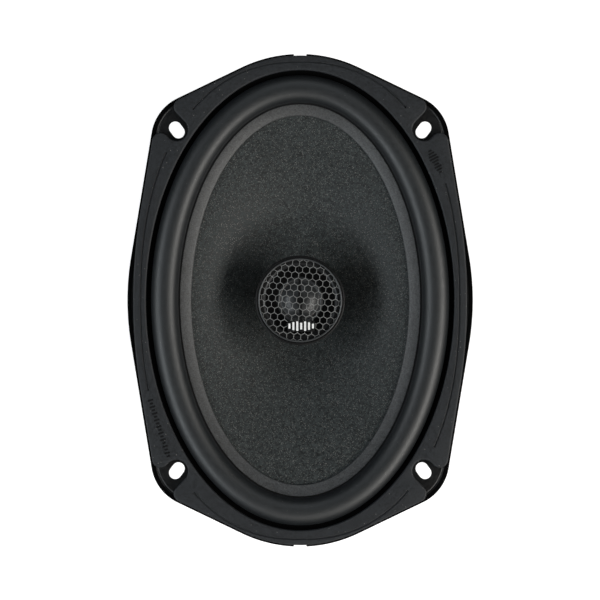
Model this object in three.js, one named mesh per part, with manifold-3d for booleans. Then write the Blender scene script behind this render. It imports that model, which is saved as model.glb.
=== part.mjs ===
// A 6 x 9 inch coaxial car loudspeaker: an oval woofer with a small dome tweeter on a post in its middle.
// Millimetres, +Z towards the listener. The origin is the middle of the motor's rear face, on the axis,
// with +Y along the oval's long axis. The speaker lies on the flat back of its motor.
import * as THREE from "three";
import { mergeVertices } from "three/addons/utils/BufferGeometryUtils.js";
import Module from "manifold-3d";

const wasm = await Module();
wasm.setup();

const rad = THREE.MathUtils.degToRad;
const TURN = 2 * Math.PI;

// ---------------------------------------------------------------------------------------------------
// Driving dimensions
// ---------------------------------------------------------------------------------------------------
const BOND = 0.1; // glue line between faces that are bonded flat
const FIT = 0.3; // gap round a piece that sits in another

// The flange seen from the front: bulging sides and ends joined by straight slopes and round corners.
const HALF_WIDTH = 82;
const HALF_LENGTH = 117;
const SIDE_RADIUS = 126;
const END_RADIUS = 64;
const CORNER_RADIUS = 22;
const SIDE_SLOPE = rad(9.4);
const END_SLOPE = rad(25.7);
const SHEET = 1.5; // the pressed steel of the basket
const RIM_ROLL = 2.3; // radius of the flange's rolled-down edge
const RIM_DEPTH = 3.2;
const NOTCH_WIDTH = 6;
const NOTCH_DEPTH = 1.3;

// The screw slots lie at the corners, long side pointing away from the middle.
const SLOT_WIDTH = 6;
const SLOT_LENGTH = 8.6;
const SLOT_ANGLE = rad(53.3);
const SLOT_FROM_CORNER = new THREE.Vector2(9.8, 4.85); // from the centre of the corner's round

// The oval opening, and what hangs in it. The oval is always longer than wide by the same amount.
const OPENING_SIDE_MARGIN = 10.8;
const OPENING_END_MARGIN = 9.8;
const LIP_LAND = 3.8; // surround glued to the flange
const ROLL_GAP = 0.3;
const ROLL_WIDTH = 13.6;
const ROLL_HEIGHT = 5.5;
const INNER_LIP_WIDTH = 5.6;
const INNER_LIP_DROP = 1.5;
const RUBBER = 0.8;

// The trim ring over the flange.
const TRIM_INSET = 0.95;
const TRIM_SIDE_INSET = 2.8;
const TRIM_SIDE_RADIUS = 259;
const TRIM_HEIGHT = 4.5;
const TRIM_BORE_MARGIN = 1.9; // from the opening out to the ring's inner edge
const SCREW_CLEAR_RADIUS = 5.4;
const PAD_END_RADIUS = 4.0;
const PAD_END_BELOW_SLOT = 1.6;
const PAD_END_BESIDE_SLOT = 1.3;

// The motor, from the back: back plate, ring magnet, front plate.
const PLATE_RADIUS = 42;
const BACK_PLATE = 5;
const MAGNET_RADIUS = 47.5;
const MAGNET_BORE = 24;
const MAGNET_HEIGHT = 16;
const FRONT_PLATE = 6.2;
const COIL_RADIUS = 16.1; // middle of the former's wall
const FORMER_WALL = 0.4;
const WINDING_WALL = 0.6;
const WINDING_HEIGHT = 11.5;
const POLE_CLEARANCE = 0.6;
const GAP_CLEARANCE = 0.5;
const POLE_ABOVE_PLATE = 0.6;
const REAR_RECESS_RADIUS = 8.5;
const REAR_RECESS_DEPTH = 6;
const GROOVE_WIDTH = 4.4;
const GROOVE_DEPTH = 2.2;

// Heights of the suspension above the motor.
const LANDING_ABOVE_RING = 11.1; // spider landing above the basket's rear ring
const LANDING_INNER = 42.5;
const LANDING_OUTER = 49;
const FLANGE_HEIGHT = 75; // front face of the flange
const WALL_HEIGHT = 8.5; // upright wall under the flange
const CONE_DEPTH = 24;
const CONE_WALL = 0.8;
const RIM_SLOPE_SHARE = 0.45; // share of the depth that rises evenly, the rest flares near the neck
const FORMER_ABOVE_NECK = 1.2;
const DUST_SEAL_HOLE = 0.9; // round the post
const DUST_SEAL_RISE = 1.2;
const DUST_SEAL_CLOTH = 0.7;
const SPIDER_CLOTH = 0.6;
const SPIDER_WAVE = 1.1;
const SPIDER_WAVES = 4;
const SPIDER_COLLAR = 2;
const SPIDER_RIM_INSET = 1;

// The basket's windows are punched straight through its sloping wall.
const WINDOWS = 8; // places round the bowl; the one at +X is kept for the terminals
const WINDOW_HALF_ANGLE = rad(18);
const WINDOW_INNER_SHARE = 0.18;
const WINDOW_OUTER_SHARE = 0.86;

// Rivets that hold the basket to the front plate.
const RIVETS = 4;
const RIVET_CIRCLE = 33;
const RIVET_SHANK = 2;
const RIVET_HEAD = 3.6;
const RIVET_HEAD_HEIGHT = 1.4;
const RIVET_DEPTH = 3.5;
const RIVET_CROWN = 0.5; // share of the head that stays flat on top
const RIVET_SHOULDER = 0.9;

// The tweeter and its post.
const POST_RADIUS = 3.9;
const POST_BORE = 2.3;
const POST_NUT_FLATS = 11;
const NUT_HEIGHT = 3;
const POST_RAISE = 0.2; // over the wire groove's floor
const POST_RECESS = 0.5; // below the cup's floor
const WASHER_RADIUS = 7.6;
const WASHER_HEIGHT = 0.5;
const TWEETER_TOP = 83;
const CUP_RADIUS = 21.2;
const CUP_FOOT_RADIUS = 8;
const CUP_HEIGHT = 18.5;
const CUP_FLOOR = 4;
const CUP_BORE = 17.6;
const CUP_SHOULDER_HEIGHT = 4.5; // the cup swells in two steps above its foot
const CUP_SHOULDER_INSET = 3.5;
const CUP_BELLY_INSET = 1;
const CUP_EDGE_BELOW_TOP = 0.3;
const CUP_EDGE_ROUND = 0.5;
const GRILLE_RADIUS = 19.9;
const GRILLE_RIM = 0.8;
const GRILLE_RIM_DEPTH = 1.5;
const GRILLE_SHEET = 0.5;
const GRILLE_BELOW_RIM = 0.5;
const HEX_PITCH = 3.34;
const HEX_BAR = 0.5;
const HEX_TURN = rad(-4.6);
const GUARD_THICKNESS = 0.6;
const GUARD_HALF_WIDTH = 0.9;
const GUARD_BUTTON = 2;
const GUARD_GAP = 0.2; // to the grille above and the faceplate below
const GUARD_END_GAP = 0.4;
const DOME_RADIUS = 8.8;
const DOME_RISE = 3.4;
const DOME_WALL = 0.3;
const DOME_TRAVEL = 0.3;
const DOME_CLEARANCE = 0.35; // left under the guard at the end of travel
const DOME_ABOVE_POT = 0.6;
const TWEETER_COIL_WALL = 0.5;
const TWEETER_COIL_DEPTH = 2.2; // into the pot
const POLE_DISC_INSET = 0.6; // from the dome's edge
const MAGNET_INSET = 0.5; // from the pole disc's edge
const POT_BORE_MARGIN = 0.9; // from the dome's edge out to the pot's bore
const POT_RADIUS = 13.5;
const POT_FLOOR = 2.5;
const POT_ABOVE_CUP_FLOOR = 1;
const SUSPENSION_LAND = 1.2;
const SUSPENSION_ROLL = 0.35;
const SUSPENSION_EDGE_INSET = 0.4; // from the pot's edge
const HORN_MARGIN = 1.5; // from the pot's bore out to the horn's mouth
const HORN_FLARE = 1.6;
const HORN_RIM = 2;
const HORN_FOOT = 1;
const BADGE_WIDTH = 12.4;
const BADGE_LENGTH = 5;
const BADGE_THICKNESS = 0.4;
const BADGE_Y = -12.6;

// Terminals on the basket's ear, at +X.
const EAR_REACH = 65;
const EAR_HALF_WIDTH = 28;
const BOARD_THICKNESS = 1.6;
const BOARD_INNER = 48.5;
const BOARD_MARGIN = 1;
const TAB_THICKNESS = 0.8;
const TAB_REACH = 9.5; // beyond the ear
const TAB_FOOT = 3; // from the eyelet to the foot's inner and side edges
const TAB_HOLE = 0.7;
const TAB_HOLE_INSET = 3;
const TABS = [
  { name: "positive_terminal_tab", width: 4.8, y: -6 },
  { name: "negative_terminal_tab", width: 2.8, y: -17 },
];
const EYELET_RADIUS = 1.5;
const EYELET_HEAD = 2.5;
const EYELET_HEAD_HEIGHT = 0.8;
const EYELET_CURL = 0.8; // the turned foot, as a share of the head
const EYELET_CURL_HEIGHT = 0.7;
const EYELET_X = 53.5;
const EYELET_WINDOW_HALF = 4; // in the ear, over both eyelets
const EYELET_WINDOW_MARGIN = 4.5;
const BOARD_RIVET_Y = 24;
const BOARD_RIVET_INSET = 4;
const BOARD_RIVET_HEAD_HEIGHT = 1;
const CAPACITOR_MARGIN = 2; // from the board's inner edge
const CAPACITOR_RADIUS = 4.5;
const CAPACITOR_LENGTH = 18;
const CAPACITOR_Y = 14;
const LEAD_RADIUS = 0.7;
const LEAD_SPREAD = 0.95; // each tweeter lead lies this far to its side of the X axis
const CAPACITOR_LEAD_RADIUS = 0.4;
const LEAD_FROM_MOTOR = 0.6;
const TINSEL_RADIUS = 0.8;
const TINSEL_SAG_HEIGHT = 10.5; // over the spider landing
const TINSEL_CONE_SHARE = 0.36; // of the way from the neck to the cone's edge
const TINSEL_FIRST_Y = 4.5;
const TINSEL_STEP_Y = 6;

// ---------------------------------------------------------------------------------------------------
// Places worked out from them
// ---------------------------------------------------------------------------------------------------
const opening = HALF_WIDTH - OPENING_SIDE_MARGIN; // half width of the oval opening
const openingStretch = HALF_LENGTH - OPENING_END_MARGIN - opening; // how much longer than wide
const rollOuter = opening - ROLL_GAP;
const rollInner = rollOuter - ROLL_WIDTH;
const innerLipEdge = rollInner - INNER_LIP_WIDTH;
const surroundEdge = opening + LIP_LAND;
const surroundFoot = FLANGE_HEIGHT + BOND;
const rollFoot = surroundFoot + RUBBER; // top of both lips, where the roll springs

const magnetBottom = BACK_PLATE + BOND;
const frontPlateBottom = magnetBottom + MAGNET_HEIGHT + BOND;
const frontPlateTop = frontPlateBottom + FRONT_PLATE;
const ringBottom = frontPlateTop + BOND;
const landingTop = ringBottom + SHEET + LANDING_ABOVE_RING;
const formerInner = COIL_RADIUS - FORMER_WALL / 2;
const formerOuter = COIL_RADIUS + FORMER_WALL / 2;
const windingInner = formerOuter + BOND;
const windingOuter = windingInner + WINDING_WALL;
const poleRadius = formerInner - POLE_CLEARANCE;
const poleTop = frontPlateTop + POLE_ABOVE_PLATE;
const gapMiddle = frontPlateBottom + FRONT_PLATE / 2;
const windingBottom = gapMiddle - WINDING_HEIGHT / 2;
const neckRadius = formerOuter + BOND;
const coneRim = rollInner - ROLL_GAP;
const coneRimTop = rollFoot - RUBBER - BOND; // just under the surround's inner lip
const coneBreakTop = coneRimTop - INNER_LIP_DROP;
const neckTop = coneRimTop - CONE_DEPTH;
const formerTop = neckTop + FORMER_ABOVE_NECK;

const cupBottom = TWEETER_TOP - CUP_HEIGHT;
const cupFloorTop = cupBottom + CUP_FLOOR;
const potBottom = cupFloorTop + POT_ABOVE_CUP_FLOOR;
const grilleTop = TWEETER_TOP - GRILLE_BELOW_RIM;
const grilleBottom = grilleTop - GRILLE_SHEET;
const guardTop = grilleBottom - GUARD_GAP;
const guardBottom = guardTop - GUARD_THICKNESS;
const domeFoot = guardBottom - DOME_TRAVEL - DOME_CLEARANCE - DOME_RISE; // base plane of the dome
const potTop = domeFoot - DOME_ABOVE_POT;
const postBottom = GROOVE_DEPTH + POST_RAISE;
const postTop = cupFloorTop - POST_RECESS;

// ---------------------------------------------------------------------------------------------------
// Helpers
// ---------------------------------------------------------------------------------------------------
function toSolid(geometry) {
  const bare = new THREE.BufferGeometry();
  bare.setAttribute("position", geometry.getAttribute("position").clone());
  if (geometry.index) bare.setIndex(geometry.index.clone());
  const merged = mergeVertices(bare, 1e-4);
  const vertProperties = merged.getAttribute("position").array;
  const triVerts = new Uint32Array(merged.index.array);
  return new wasm.Manifold(new wasm.Mesh({ numProp: 3, vertProperties, triVerts }));
}

function toGeometry(solid) {
  const mesh = solid.getMesh();
  const geometry = new THREE.BufferGeometry();
  geometry.setAttribute("position", new THREE.BufferAttribute(mesh.vertProperties, mesh.numProp));
  geometry.setIndex(new THREE.BufferAttribute(mesh.triVerts, 1));
  return geometry;
}

const cut = (base, ...tools) =>
  toGeometry(tools.reduce((left, tool) => left.subtract(toSolid(tool)), toSolid(base)));

const join = (base, ...others) =>
  toGeometry(others.reduce((sum, other) => sum.add(toSolid(other)), toSolid(base)));

// Revolves a profile of [radius, height] pairs about Z. The profile runs anticlockwise: outwards along
// the bottom, up the outside, and back inwards along the top. It closes on itself, or on the axis.
function revolve(profile, segments) {
  const onAxis = profile[0][0] === 0;
  const points = (onAxis ? profile : [...profile, profile[0]]).map(([r, z]) => new THREE.Vector2(r, z));
  return new THREE.LatheGeometry(points, segments).rotateX(Math.PI / 2).rotateZ(Math.PI / segments);
}

// Turns circles about Z into ovals, each longer along Y by stretch(half width).
function ovalize(geometry, stretch) {
  const position = geometry.getAttribute("position");
  for (let i = 0; i < position.count; i++) {
    const halfWidth = Math.hypot(position.getX(i), position.getY(i));
    const longer = 1 + stretch(halfWidth) / Math.max(halfWidth, 1e-6);
    position.setY(i, position.getY(i) * longer);
  }
  return geometry;
}

const constantStretch = () => openingStretch;

function cylinder(radius, bottom, top, segments = 24) {
  return revolve([[0, bottom], [radius, bottom], [radius, top], [0, top]], segments);
}

function tube(inner, outer, bottom, top, segments = 24) {
  return revolve([[inner, bottom], [outer, bottom], [outer, top], [inner, top]], segments);
}

function box(xs, ys, zs) {
  const middle = (pair) => (pair[0] + pair[1]) / 2;
  const size = (pair) => pair[1] - pair[0];
  const shape = new THREE.BoxGeometry(size(xs), size(ys), size(zs));
  return shape.translate(middle(xs), middle(ys), middle(zs));
}

function extrude(shape, bottom, top) {
  const settings = { depth: top - bottom, bevelEnabled: false };
  return new THREE.ExtrudeGeometry(shape, settings).translate(0, 0, bottom);
}

function arc(centre, radius, from, to, steps) {
  const curve = new THREE.EllipseCurve(centre.x, centre.y, radius, radius, from, to, to < from);
  return curve.getPoints(steps);
}

// Mirrors a quarter outline, listed from the +X axis round to the +Y axis, into a closed loop.
function fourQuarters(quarter) {
  const flip = (x, y) => quarter.map((p) => new THREE.Vector2(p.x * x, p.y * y));
  const loop = [...flip(1, 1), ...flip(-1, 1).reverse(), ...flip(-1, -1), ...flip(1, -1).reverse()];
  return loop.filter((p, i) => p.distanceTo(loop[(i + 1) % loop.length]) > 1e-3);
}

// Skins a closed loop of rings. Each ring is a loop of points round Z, and the rings run anticlockwise
// round the section, as in revolve.
function skinRings(rings) {
  const count = rings[0].length;
  const geometry = new THREE.BufferGeometry().setFromPoints(rings.flat());
  const faces = [];
  rings.forEach((ring, i) => {
    const here = i * count;
    const next = ((i + 1) % rings.length) * count;
    for (let j = 0; j < count; j++) {
      const k = (j + 1) % count;
      faces.push(here + j, here + k, next + k, here + j, next + k, next + j);
    }
  });
  return geometry.setIndex(faces);
}

const parts = new THREE.Group();

const FINISH = {
  paintedSteel: { color: 0x16181a, roughness: 0.45, metalness: 0.3 },
  trimPlastic: { color: 0x25282b, roughness: 0.7, metalness: 0 },
  rubber: { color: 0x1b1e20, roughness: 0.4, metalness: 0 },
  paper: { color: 0x232627, roughness: 0.85, metalness: 0 },
  cloth: { color: 0x8a6f3c, roughness: 0.9, metalness: 0 },
  film: { color: 0xb98d4f, roughness: 0.5, metalness: 0 },
  copper: { color: 0xb4653a, roughness: 0.35, metalness: 0.9 },
  zinc: { color: 0x9a9da0, roughness: 0.4, metalness: 0.9 },
  ferrite: { color: 0x2e3032, roughness: 0.8, metalness: 0.1 },
  blackPlastic: { color: 0x141516, roughness: 0.5, metalness: 0 },
  silk: { color: 0x202226, roughness: 0.6, metalness: 0 },
  grilleSteel: { color: 0x3a3c3f, roughness: 0.4, metalness: 0.6 },
  badge: { color: 0xe8e8e6, roughness: 0.4, metalness: 0 },
  board: { color: 0x6b4a24, roughness: 0.6, metalness: 0 },
  brass: { color: 0xc9a75a, roughness: 0.3, metalness: 0.9 },
  redSleeve: { color: 0x9c1f1c, roughness: 0.5, metalness: 0 },
  blackSleeve: { color: 0x151515, roughness: 0.5, metalness: 0 },
  capacitorSleeve: { color: 0x1c2f5a, roughness: 0.4, metalness: 0 },
  tinsel: { color: 0xb9b3a4, roughness: 0.4, metalness: 0.7 },
};

function add(name, geometry, finish) {
  const mesh = new THREE.Mesh(geometry, new THREE.MeshStandardMaterial(FINISH[finish]));
  mesh.name = name;
  parts.add(mesh);
}

// ---------------------------------------------------------------------------------------------------
// Flange outline and corner geometry
// ---------------------------------------------------------------------------------------------------
const sideNormal = SIDE_SLOPE;
const endNormal = Math.PI / 2 - END_SLOPE;

// The quarter outline's three arcs. The corner's arc touches both straight slopes.
function quarterArcs({ halfWidth, halfLength, sideRadius, endRadius, cornerRadius }) {
  const side = { centre: new THREE.Vector2(halfWidth - sideRadius, 0), radius: sideRadius };
  const end = { centre: new THREE.Vector2(0, halfLength - endRadius), radius: endRadius };
  const sideReach = side.centre.x * Math.cos(sideNormal) + sideRadius - cornerRadius;
  const endReach = end.centre.y * Math.sin(endNormal) + endRadius - cornerRadius;
  const turn = Math.sin(endNormal - sideNormal);
  const corner = {
    centre: new THREE.Vector2(
      (sideReach * Math.sin(endNormal) - endReach * Math.sin(sideNormal)) / turn,
      (endReach * Math.cos(sideNormal) - sideReach * Math.cos(endNormal)) / turn,
    ),
    radius: cornerRadius,
  };
  return { side, corner, end };
}

const flangeArcs = quarterArcs({
  halfWidth: HALF_WIDTH,
  halfLength: HALF_LENGTH,
  sideRadius: SIDE_RADIUS,
  endRadius: END_RADIUS,
  cornerRadius: CORNER_RADIUS,
});
const slotCentre = flangeArcs.corner.centre.clone().add(SLOT_FROM_CORNER);

function flangeLoop(inset) {
  const { side, corner, end } = flangeArcs;
  return fourQuarters([
    ...arc(side.centre, side.radius - inset, 0, sideNormal, 2),
    ...arc(corner.centre, corner.radius - inset, sideNormal, endNormal, 5),
    ...arc(end.centre, end.radius - inset, endNormal, Math.PI / 2, 3),
  ]);
}

const atHeight = (loop, z) => loop.map((p) => new THREE.Vector3(p.x, p.y, z));

// The oval's point in the same direction as each point of another loop.
function ovalLoopLike(loop, halfWidth, z) {
  const halfLength = halfWidth + openingStretch;
  return loop.map((p) => {
    const reach = 1 / Math.hypot(p.x / halfWidth, p.y / halfLength);
    return new THREE.Vector3(p.x * reach, p.y * reach, z);
  });
}

function slotShape(width, length) {
  const straight = (length - width) / 2;
  const shape = new THREE.Shape();
  shape.absarc(straight, 0, width / 2, -Math.PI / 2, Math.PI / 2, false);
  shape.absarc(-straight, 0, width / 2, Math.PI / 2, 1.5 * Math.PI, false);
  return shape;
}

// The four screw slots as cutting tools.
function slotTools(bottom, top) {
  return [[1, 1], [-1, 1], [-1, -1], [1, -1]].map(([x, y]) =>
    new THREE.ExtrudeGeometry(slotShape(SLOT_WIDTH, SLOT_LENGTH), {
      depth: top - bottom,
      bevelEnabled: false,
      curveSegments: 4,
    })
      .rotateZ(SLOT_ANGLE * x * y)
      .translate(slotCentre.x * x, slotCentre.y * y, bottom),
  );
}

function notchTools(bottom, top) {
  return [1, -1].map((end) => {
    const ys = [HALF_LENGTH - NOTCH_DEPTH, HALF_LENGTH + 1].map((y) => y * end).sort((a, b) => a - b);
    return box([-NOTCH_WIDTH / 2, NOTCH_WIDTH / 2], ys, [bottom, top]);
  });
}

// ---------------------------------------------------------------------------------------------------
// Basket
// ---------------------------------------------------------------------------------------------------
// How far a half width lies between two others, from 0 to 1.
const shareBetween = (from, to, halfWidth) => THREE.MathUtils.clamp((halfWidth - from) / (to - from), 0, 1);

// The bowl goes from the round spider landing to the oval opening.
const bowlStretch = (halfWidth) => openingStretch * shareBetween(LANDING_OUTER, opening, halfWidth);

function bowl() {
  const wallFoot = FLANGE_HEIGHT - WALL_HEIGHT;
  const landingBottom = landingTop - SHEET;
  const ringTop = ringBottom + SHEET;
  const ringOuter = LANDING_INNER - SHEET;
  const outside = [
    [MAGNET_BORE, ringBottom],
    [ringOuter, ringBottom],
    [LANDING_INNER + SHEET / 2, landingBottom],
    [LANDING_OUTER + SHEET / 2, landingBottom],
    [(LANDING_OUTER + opening) / 2 + SHEET, (landingBottom + wallFoot) / 2 - SHEET / 2],
    [opening + SHEET, wallFoot - SHEET / 2],
    [opening + SHEET, FLANGE_HEIGHT],
  ];
  const inside = [
    [opening, FLANGE_HEIGHT],
    [opening, wallFoot],
    [(LANDING_OUTER + opening) / 2, (landingBottom + wallFoot) / 2 + SHEET / 2],
    [LANDING_OUTER, landingTop],
    [LANDING_INNER - SHEET / 2, landingTop],
    [ringOuter - SHEET, ringTop],
    [MAGNET_BORE, ringTop],
  ];
  return ovalize(revolve([...outside, ...inside], 40), bowlStretch);
}

function flangePlate() {
  const rollStart = FLANGE_HEIGHT - RIM_ROLL;
  const rimFoot = FLANGE_HEIGHT - RIM_DEPTH;
  const halfRoll = RIM_ROLL * (1 - Math.SQRT1_2);
  const underside = FLANGE_HEIGHT - SHEET;
  const outer = [
    [RIM_ROLL + SHEET / 2, underside],
    [SHEET, rollStart],
    [SHEET, rimFoot],
    [0, rimFoot],
    [0, rollStart],
    [halfRoll, FLANGE_HEIGHT - halfRoll],
    [RIM_ROLL, FLANGE_HEIGHT],
  ].map(([inset, z]) => atHeight(flangeLoop(inset), z));
  const like = flangeLoop(RIM_ROLL);
  const edge = opening + SHEET / 2; // buried in the bowl's wall
  return skinRings([ovalLoopLike(like, edge, underside), ...outer, ovalLoopLike(like, edge, FLANGE_HEIGHT)]);
}

// A window's outline in plan: a stretch of the bowl between two of its ovals.
function windowShape(middle, halfAngle, innerShare, outerShare) {
  const edge = (share, from, to) => {
    const halfWidth = THREE.MathUtils.lerp(LANDING_OUTER, opening, share);
    const halfLength = halfWidth + openingStretch * share;
    return new THREE.EllipseCurve(0, 0, halfWidth, halfLength, from, to, to < from).getPoints(3);
  };
  const [from, to] = [middle - halfAngle, middle + halfAngle];
  return new THREE.Shape([...edge(outerShare, from, to), ...edge(innerShare, to, from)]);
}

function windowTools() {
  const places = Array.from({ length: WINDOWS - 1 }, (_, i) => ((i + 1) * TURN) / WINDOWS);
  const openings = places.map((middle) =>
    windowShape(middle, WINDOW_HALF_ANGLE, WINDOW_INNER_SHARE, WINDOW_OUTER_SHARE),
  );
  const wireOuterShare = (1 + WINDOW_INNER_SHARE) / 2;
  const wireWindow = windowShape(0, WINDOW_HALF_ANGLE, WINDOW_INNER_SHARE / 2, wireOuterShare);
  return [...openings, wireWindow].map((shape) => extrude(shape, landingTop, FLANGE_HEIGHT));
}

const eyeletWindow = [
  [EYELET_X - EYELET_WINDOW_HALF, EYELET_X + EYELET_WINDOW_HALF],
  [TABS[1].y - EYELET_WINDOW_MARGIN, TABS[0].y + EYELET_WINDOW_MARGIN],
];

function earPlate() {
  const inner = LANDING_OUTER - SHEET;
  return box([inner, EAR_REACH], [-EAR_HALF_WIDTH, EAR_HALF_WIDTH], [landingTop - SHEET, landingTop]);
}

const rivetPlaces = Array.from({ length: RIVETS }, (_, i) => {
  const angle = ((i + 0.5) * TURN) / RIVETS;
  return [RIVET_CIRCLE * Math.cos(angle), RIVET_CIRCLE * Math.sin(angle)];
});
const boardRivetX = EAR_REACH - BOARD_RIVET_INSET;
const boardRivetPlaces = [[boardRivetX, BOARD_RIVET_Y], [boardRivetX, -BOARD_RIVET_Y]];

const holesAt = (places, radius, bottom, top) =>
  places.map(([x, y]) => cylinder(radius, bottom, top, 12).translate(x, y, 0));

const corridor = [ringBottom - 1, FLANGE_HEIGHT + 1];
const basketBody = join(bowl(), flangePlate(), earPlate());
add(
  "basket",
  cut(
    basketBody,
    ...windowTools(),
    ...slotTools(...corridor),
    ...notchTools(...corridor),
    ...holesAt(rivetPlaces, RIVET_SHANK + FIT, ringBottom - 1, landingTop - 2 * SHEET),
    ...holesAt(boardRivetPlaces, EYELET_RADIUS + FIT, landingTop - 2 * SHEET, landingTop + 1),
    box(...eyeletWindow, [landingTop - 2 * SHEET, landingTop + SHEET]),
  ),
  "paintedSteel",
);

// ---------------------------------------------------------------------------------------------------
// Trim ring: a moulded ring on the flange, cut away round each screw slot
// ---------------------------------------------------------------------------------------------------
const angleOf = (from, to) => Math.atan2(to.y - from.y, to.x - from.x);

// Half the turn between the line of centres and the normal of the tangent that crosses between circles.
const crossing = (a, b) => Math.acos((a.radius + b.radius) / a.centre.distanceTo(b.centre));

function trimQuarter() {
  const { side, end } = quarterArcs({
    halfWidth: HALF_WIDTH - TRIM_SIDE_INSET,
    halfLength: HALF_LENGTH - TRIM_INSET,
    sideRadius: TRIM_SIDE_RADIUS,
    endRadius: END_RADIUS - TRIM_INSET,
    cornerRadius: CORNER_RADIUS,
  });
  const sideReach = side.centre.x * Math.cos(sideNormal) + side.radius - PAD_END_RADIUS;
  const endReach = end.centre.y * Math.sin(endNormal) + end.radius - PAD_END_RADIUS;
  const padEnd = (x, y) => ({ centre: new THREE.Vector2(x, y), radius: PAD_END_RADIUS });
  const lowY = slotCentre.y - PAD_END_BELOW_SLOT - PAD_END_RADIUS;
  const sidePad = padEnd((sideReach - lowY * Math.sin(sideNormal)) / Math.cos(sideNormal), lowY);
  const highX = slotCentre.x + PAD_END_BESIDE_SLOT - PAD_END_RADIUS;
  const endPad = padEnd(highX, (endReach - highX * Math.cos(endNormal)) / Math.sin(endNormal));
  const screw = { centre: slotCentre, radius: SCREW_CLEAR_RADIUS };
  const leave = angleOf(sidePad.centre, screw.centre) - crossing(sidePad, screw);
  const rejoin = angleOf(screw.centre, endPad.centre) + crossing(screw, endPad);
  return [
    ...arc(side.centre, side.radius, 0, sideNormal, 5),
    ...arc(sidePad.centre, sidePad.radius, sideNormal, leave, 6),
    ...arc(screw.centre, screw.radius, leave + Math.PI, rejoin, 10),
    ...arc(endPad.centre, endPad.radius, rejoin - Math.PI, endNormal, 6),
    ...arc(end.centre, end.radius, endNormal, Math.PI / 2, 4),
  ];
}

function trimRing() {
  const shape = new THREE.Shape(fourQuarters(trimQuarter()));
  const bore = opening + TRIM_BORE_MARGIN;
  const boreCurve = new THREE.EllipseCurve(0, 0, bore, bore + openingStretch);
  shape.holes.push(new THREE.Path(boreCurve.getPoints(64).slice(1)));
  const ring = extrude(shape, FLANGE_HEIGHT + BOND, FLANGE_HEIGHT + TRIM_HEIGHT);
  const rebate = cylinder(surroundEdge + FIT, FLANGE_HEIGHT - 1, rollFoot + BOND, 64);
  ovalize(rebate, (r) => (r > 1 ? openingStretch : 0)); // the axis stays on the axis
  return cut(ring, rebate, ...notchTools(FLANGE_HEIGHT - 1, TWEETER_TOP));
}
add("trim_ring", trimRing(), "trimPlastic");

// ---------------------------------------------------------------------------------------------------
// Surround and cone
// ---------------------------------------------------------------------------------------------------
// Points over the half roll, from its outer foot to its inner foot.
function rollCurve(outer, inner, height, steps) {
  const middle = (outer + inner) / 2;
  return Array.from({ length: steps + 1 }, (_, i) => {
    const angle = (Math.PI * i) / steps;
    return [middle + ((outer - inner) / 2) * Math.cos(angle), rollFoot + height * Math.sin(angle)];
  });
}

function surround() {
  const over = rollCurve(rollOuter, rollInner, ROLL_HEIGHT, 8);
  const inside = rollCurve(rollOuter - RUBBER, rollInner + RUBBER, ROLL_HEIGHT - RUBBER, 6);
  const under = inside.slice(1, -1).reverse();
  const profile = [
    [innerLipEdge, rollFoot - INNER_LIP_DROP - RUBBER],
    [rollInner, surroundFoot],
    ...under,
    [rollOuter, surroundFoot],
    [surroundEdge, surroundFoot],
    [surroundEdge, rollFoot],
    ...over,
    [innerLipEdge, rollFoot - INNER_LIP_DROP],
  ];
  return ovalize(revolve(profile, 36), constantStretch);
}
add("surround", surround(), "rubber");

// Height of the cone's front face at a share of the way from neck to the inner lip's edge.
function coneHeight(share) {
  const flare = 1 - (1 - share) ** 2;
  const rise = coneBreakTop - neckTop;
  return neckTop + rise * (RIM_SLOPE_SHARE * share + (1 - RIM_SLOPE_SHARE) * flare);
}

const coneStretch = (halfWidth) => openingStretch * shareBetween(neckRadius, innerLipEdge, halfWidth);

function cone() {
  const steps = 5;
  const front = Array.from({ length: steps + 1 }, (_, i) => {
    const share = i / steps;
    return [THREE.MathUtils.lerp(neckRadius, innerLipEdge, share), coneHeight(share)];
  });
  front.push([coneRim, coneRimTop]);
  const back = front.map(([r, z]) => [r, z - CONE_WALL]);
  return ovalize(revolve([...back, ...front.reverse()], 36), coneStretch);
}
add("cone", cone(), "paper");

add("voice_coil_former", tube(formerInner, formerOuter, windingBottom, formerTop, 24), "film");
add(
  "voice_coil_winding",
  tube(windingInner, windingOuter, windingBottom, windingBottom + WINDING_HEIGHT, 24),
  "copper",
);

function dustSeal() {
  const inner = POST_RADIUS + DUST_SEAL_HOLE;
  const seat = formerTop + BOND;
  const under = [
    [inner, seat + DUST_SEAL_RISE],
    [(inner + formerOuter) / 2, seat + 0.75 * DUST_SEAL_RISE],
    [formerOuter, seat],
  ];
  const over = under.map(([r, z]) => [r, z + DUST_SEAL_CLOTH]).reverse();
  return revolve([...under, ...over], 24);
}
add("dust_seal", dustSeal(), "cloth");

// The spider's concentric waves run between its collar on the former and its flat rim on the landing.
function spider() {
  const inner = formerOuter + BOND;
  const waveStart = inner + SPIDER_COLLAR;
  const level = landingTop + BOND;
  const steps = SPIDER_WAVES * 2;
  const wave = Array.from({ length: steps + 1 }, (_, i) => {
    const share = i / steps;
    const r = THREE.MathUtils.lerp(waveStart, LANDING_INNER - SPIDER_RIM_INSET, share);
    return [r, level + SPIDER_WAVE + SPIDER_WAVE * Math.cos(TURN * SPIDER_WAVES * share + Math.PI)];
  });
  const under = [[inner, level], ...wave, [LANDING_OUTER - SPIDER_RIM_INSET, level]];
  const over = under.map(([r, z]) => [r, z + SPIDER_CLOTH]).reverse();
  return revolve([...under, ...over], 32);
}
add("spider", spider(), "cloth");

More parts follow.
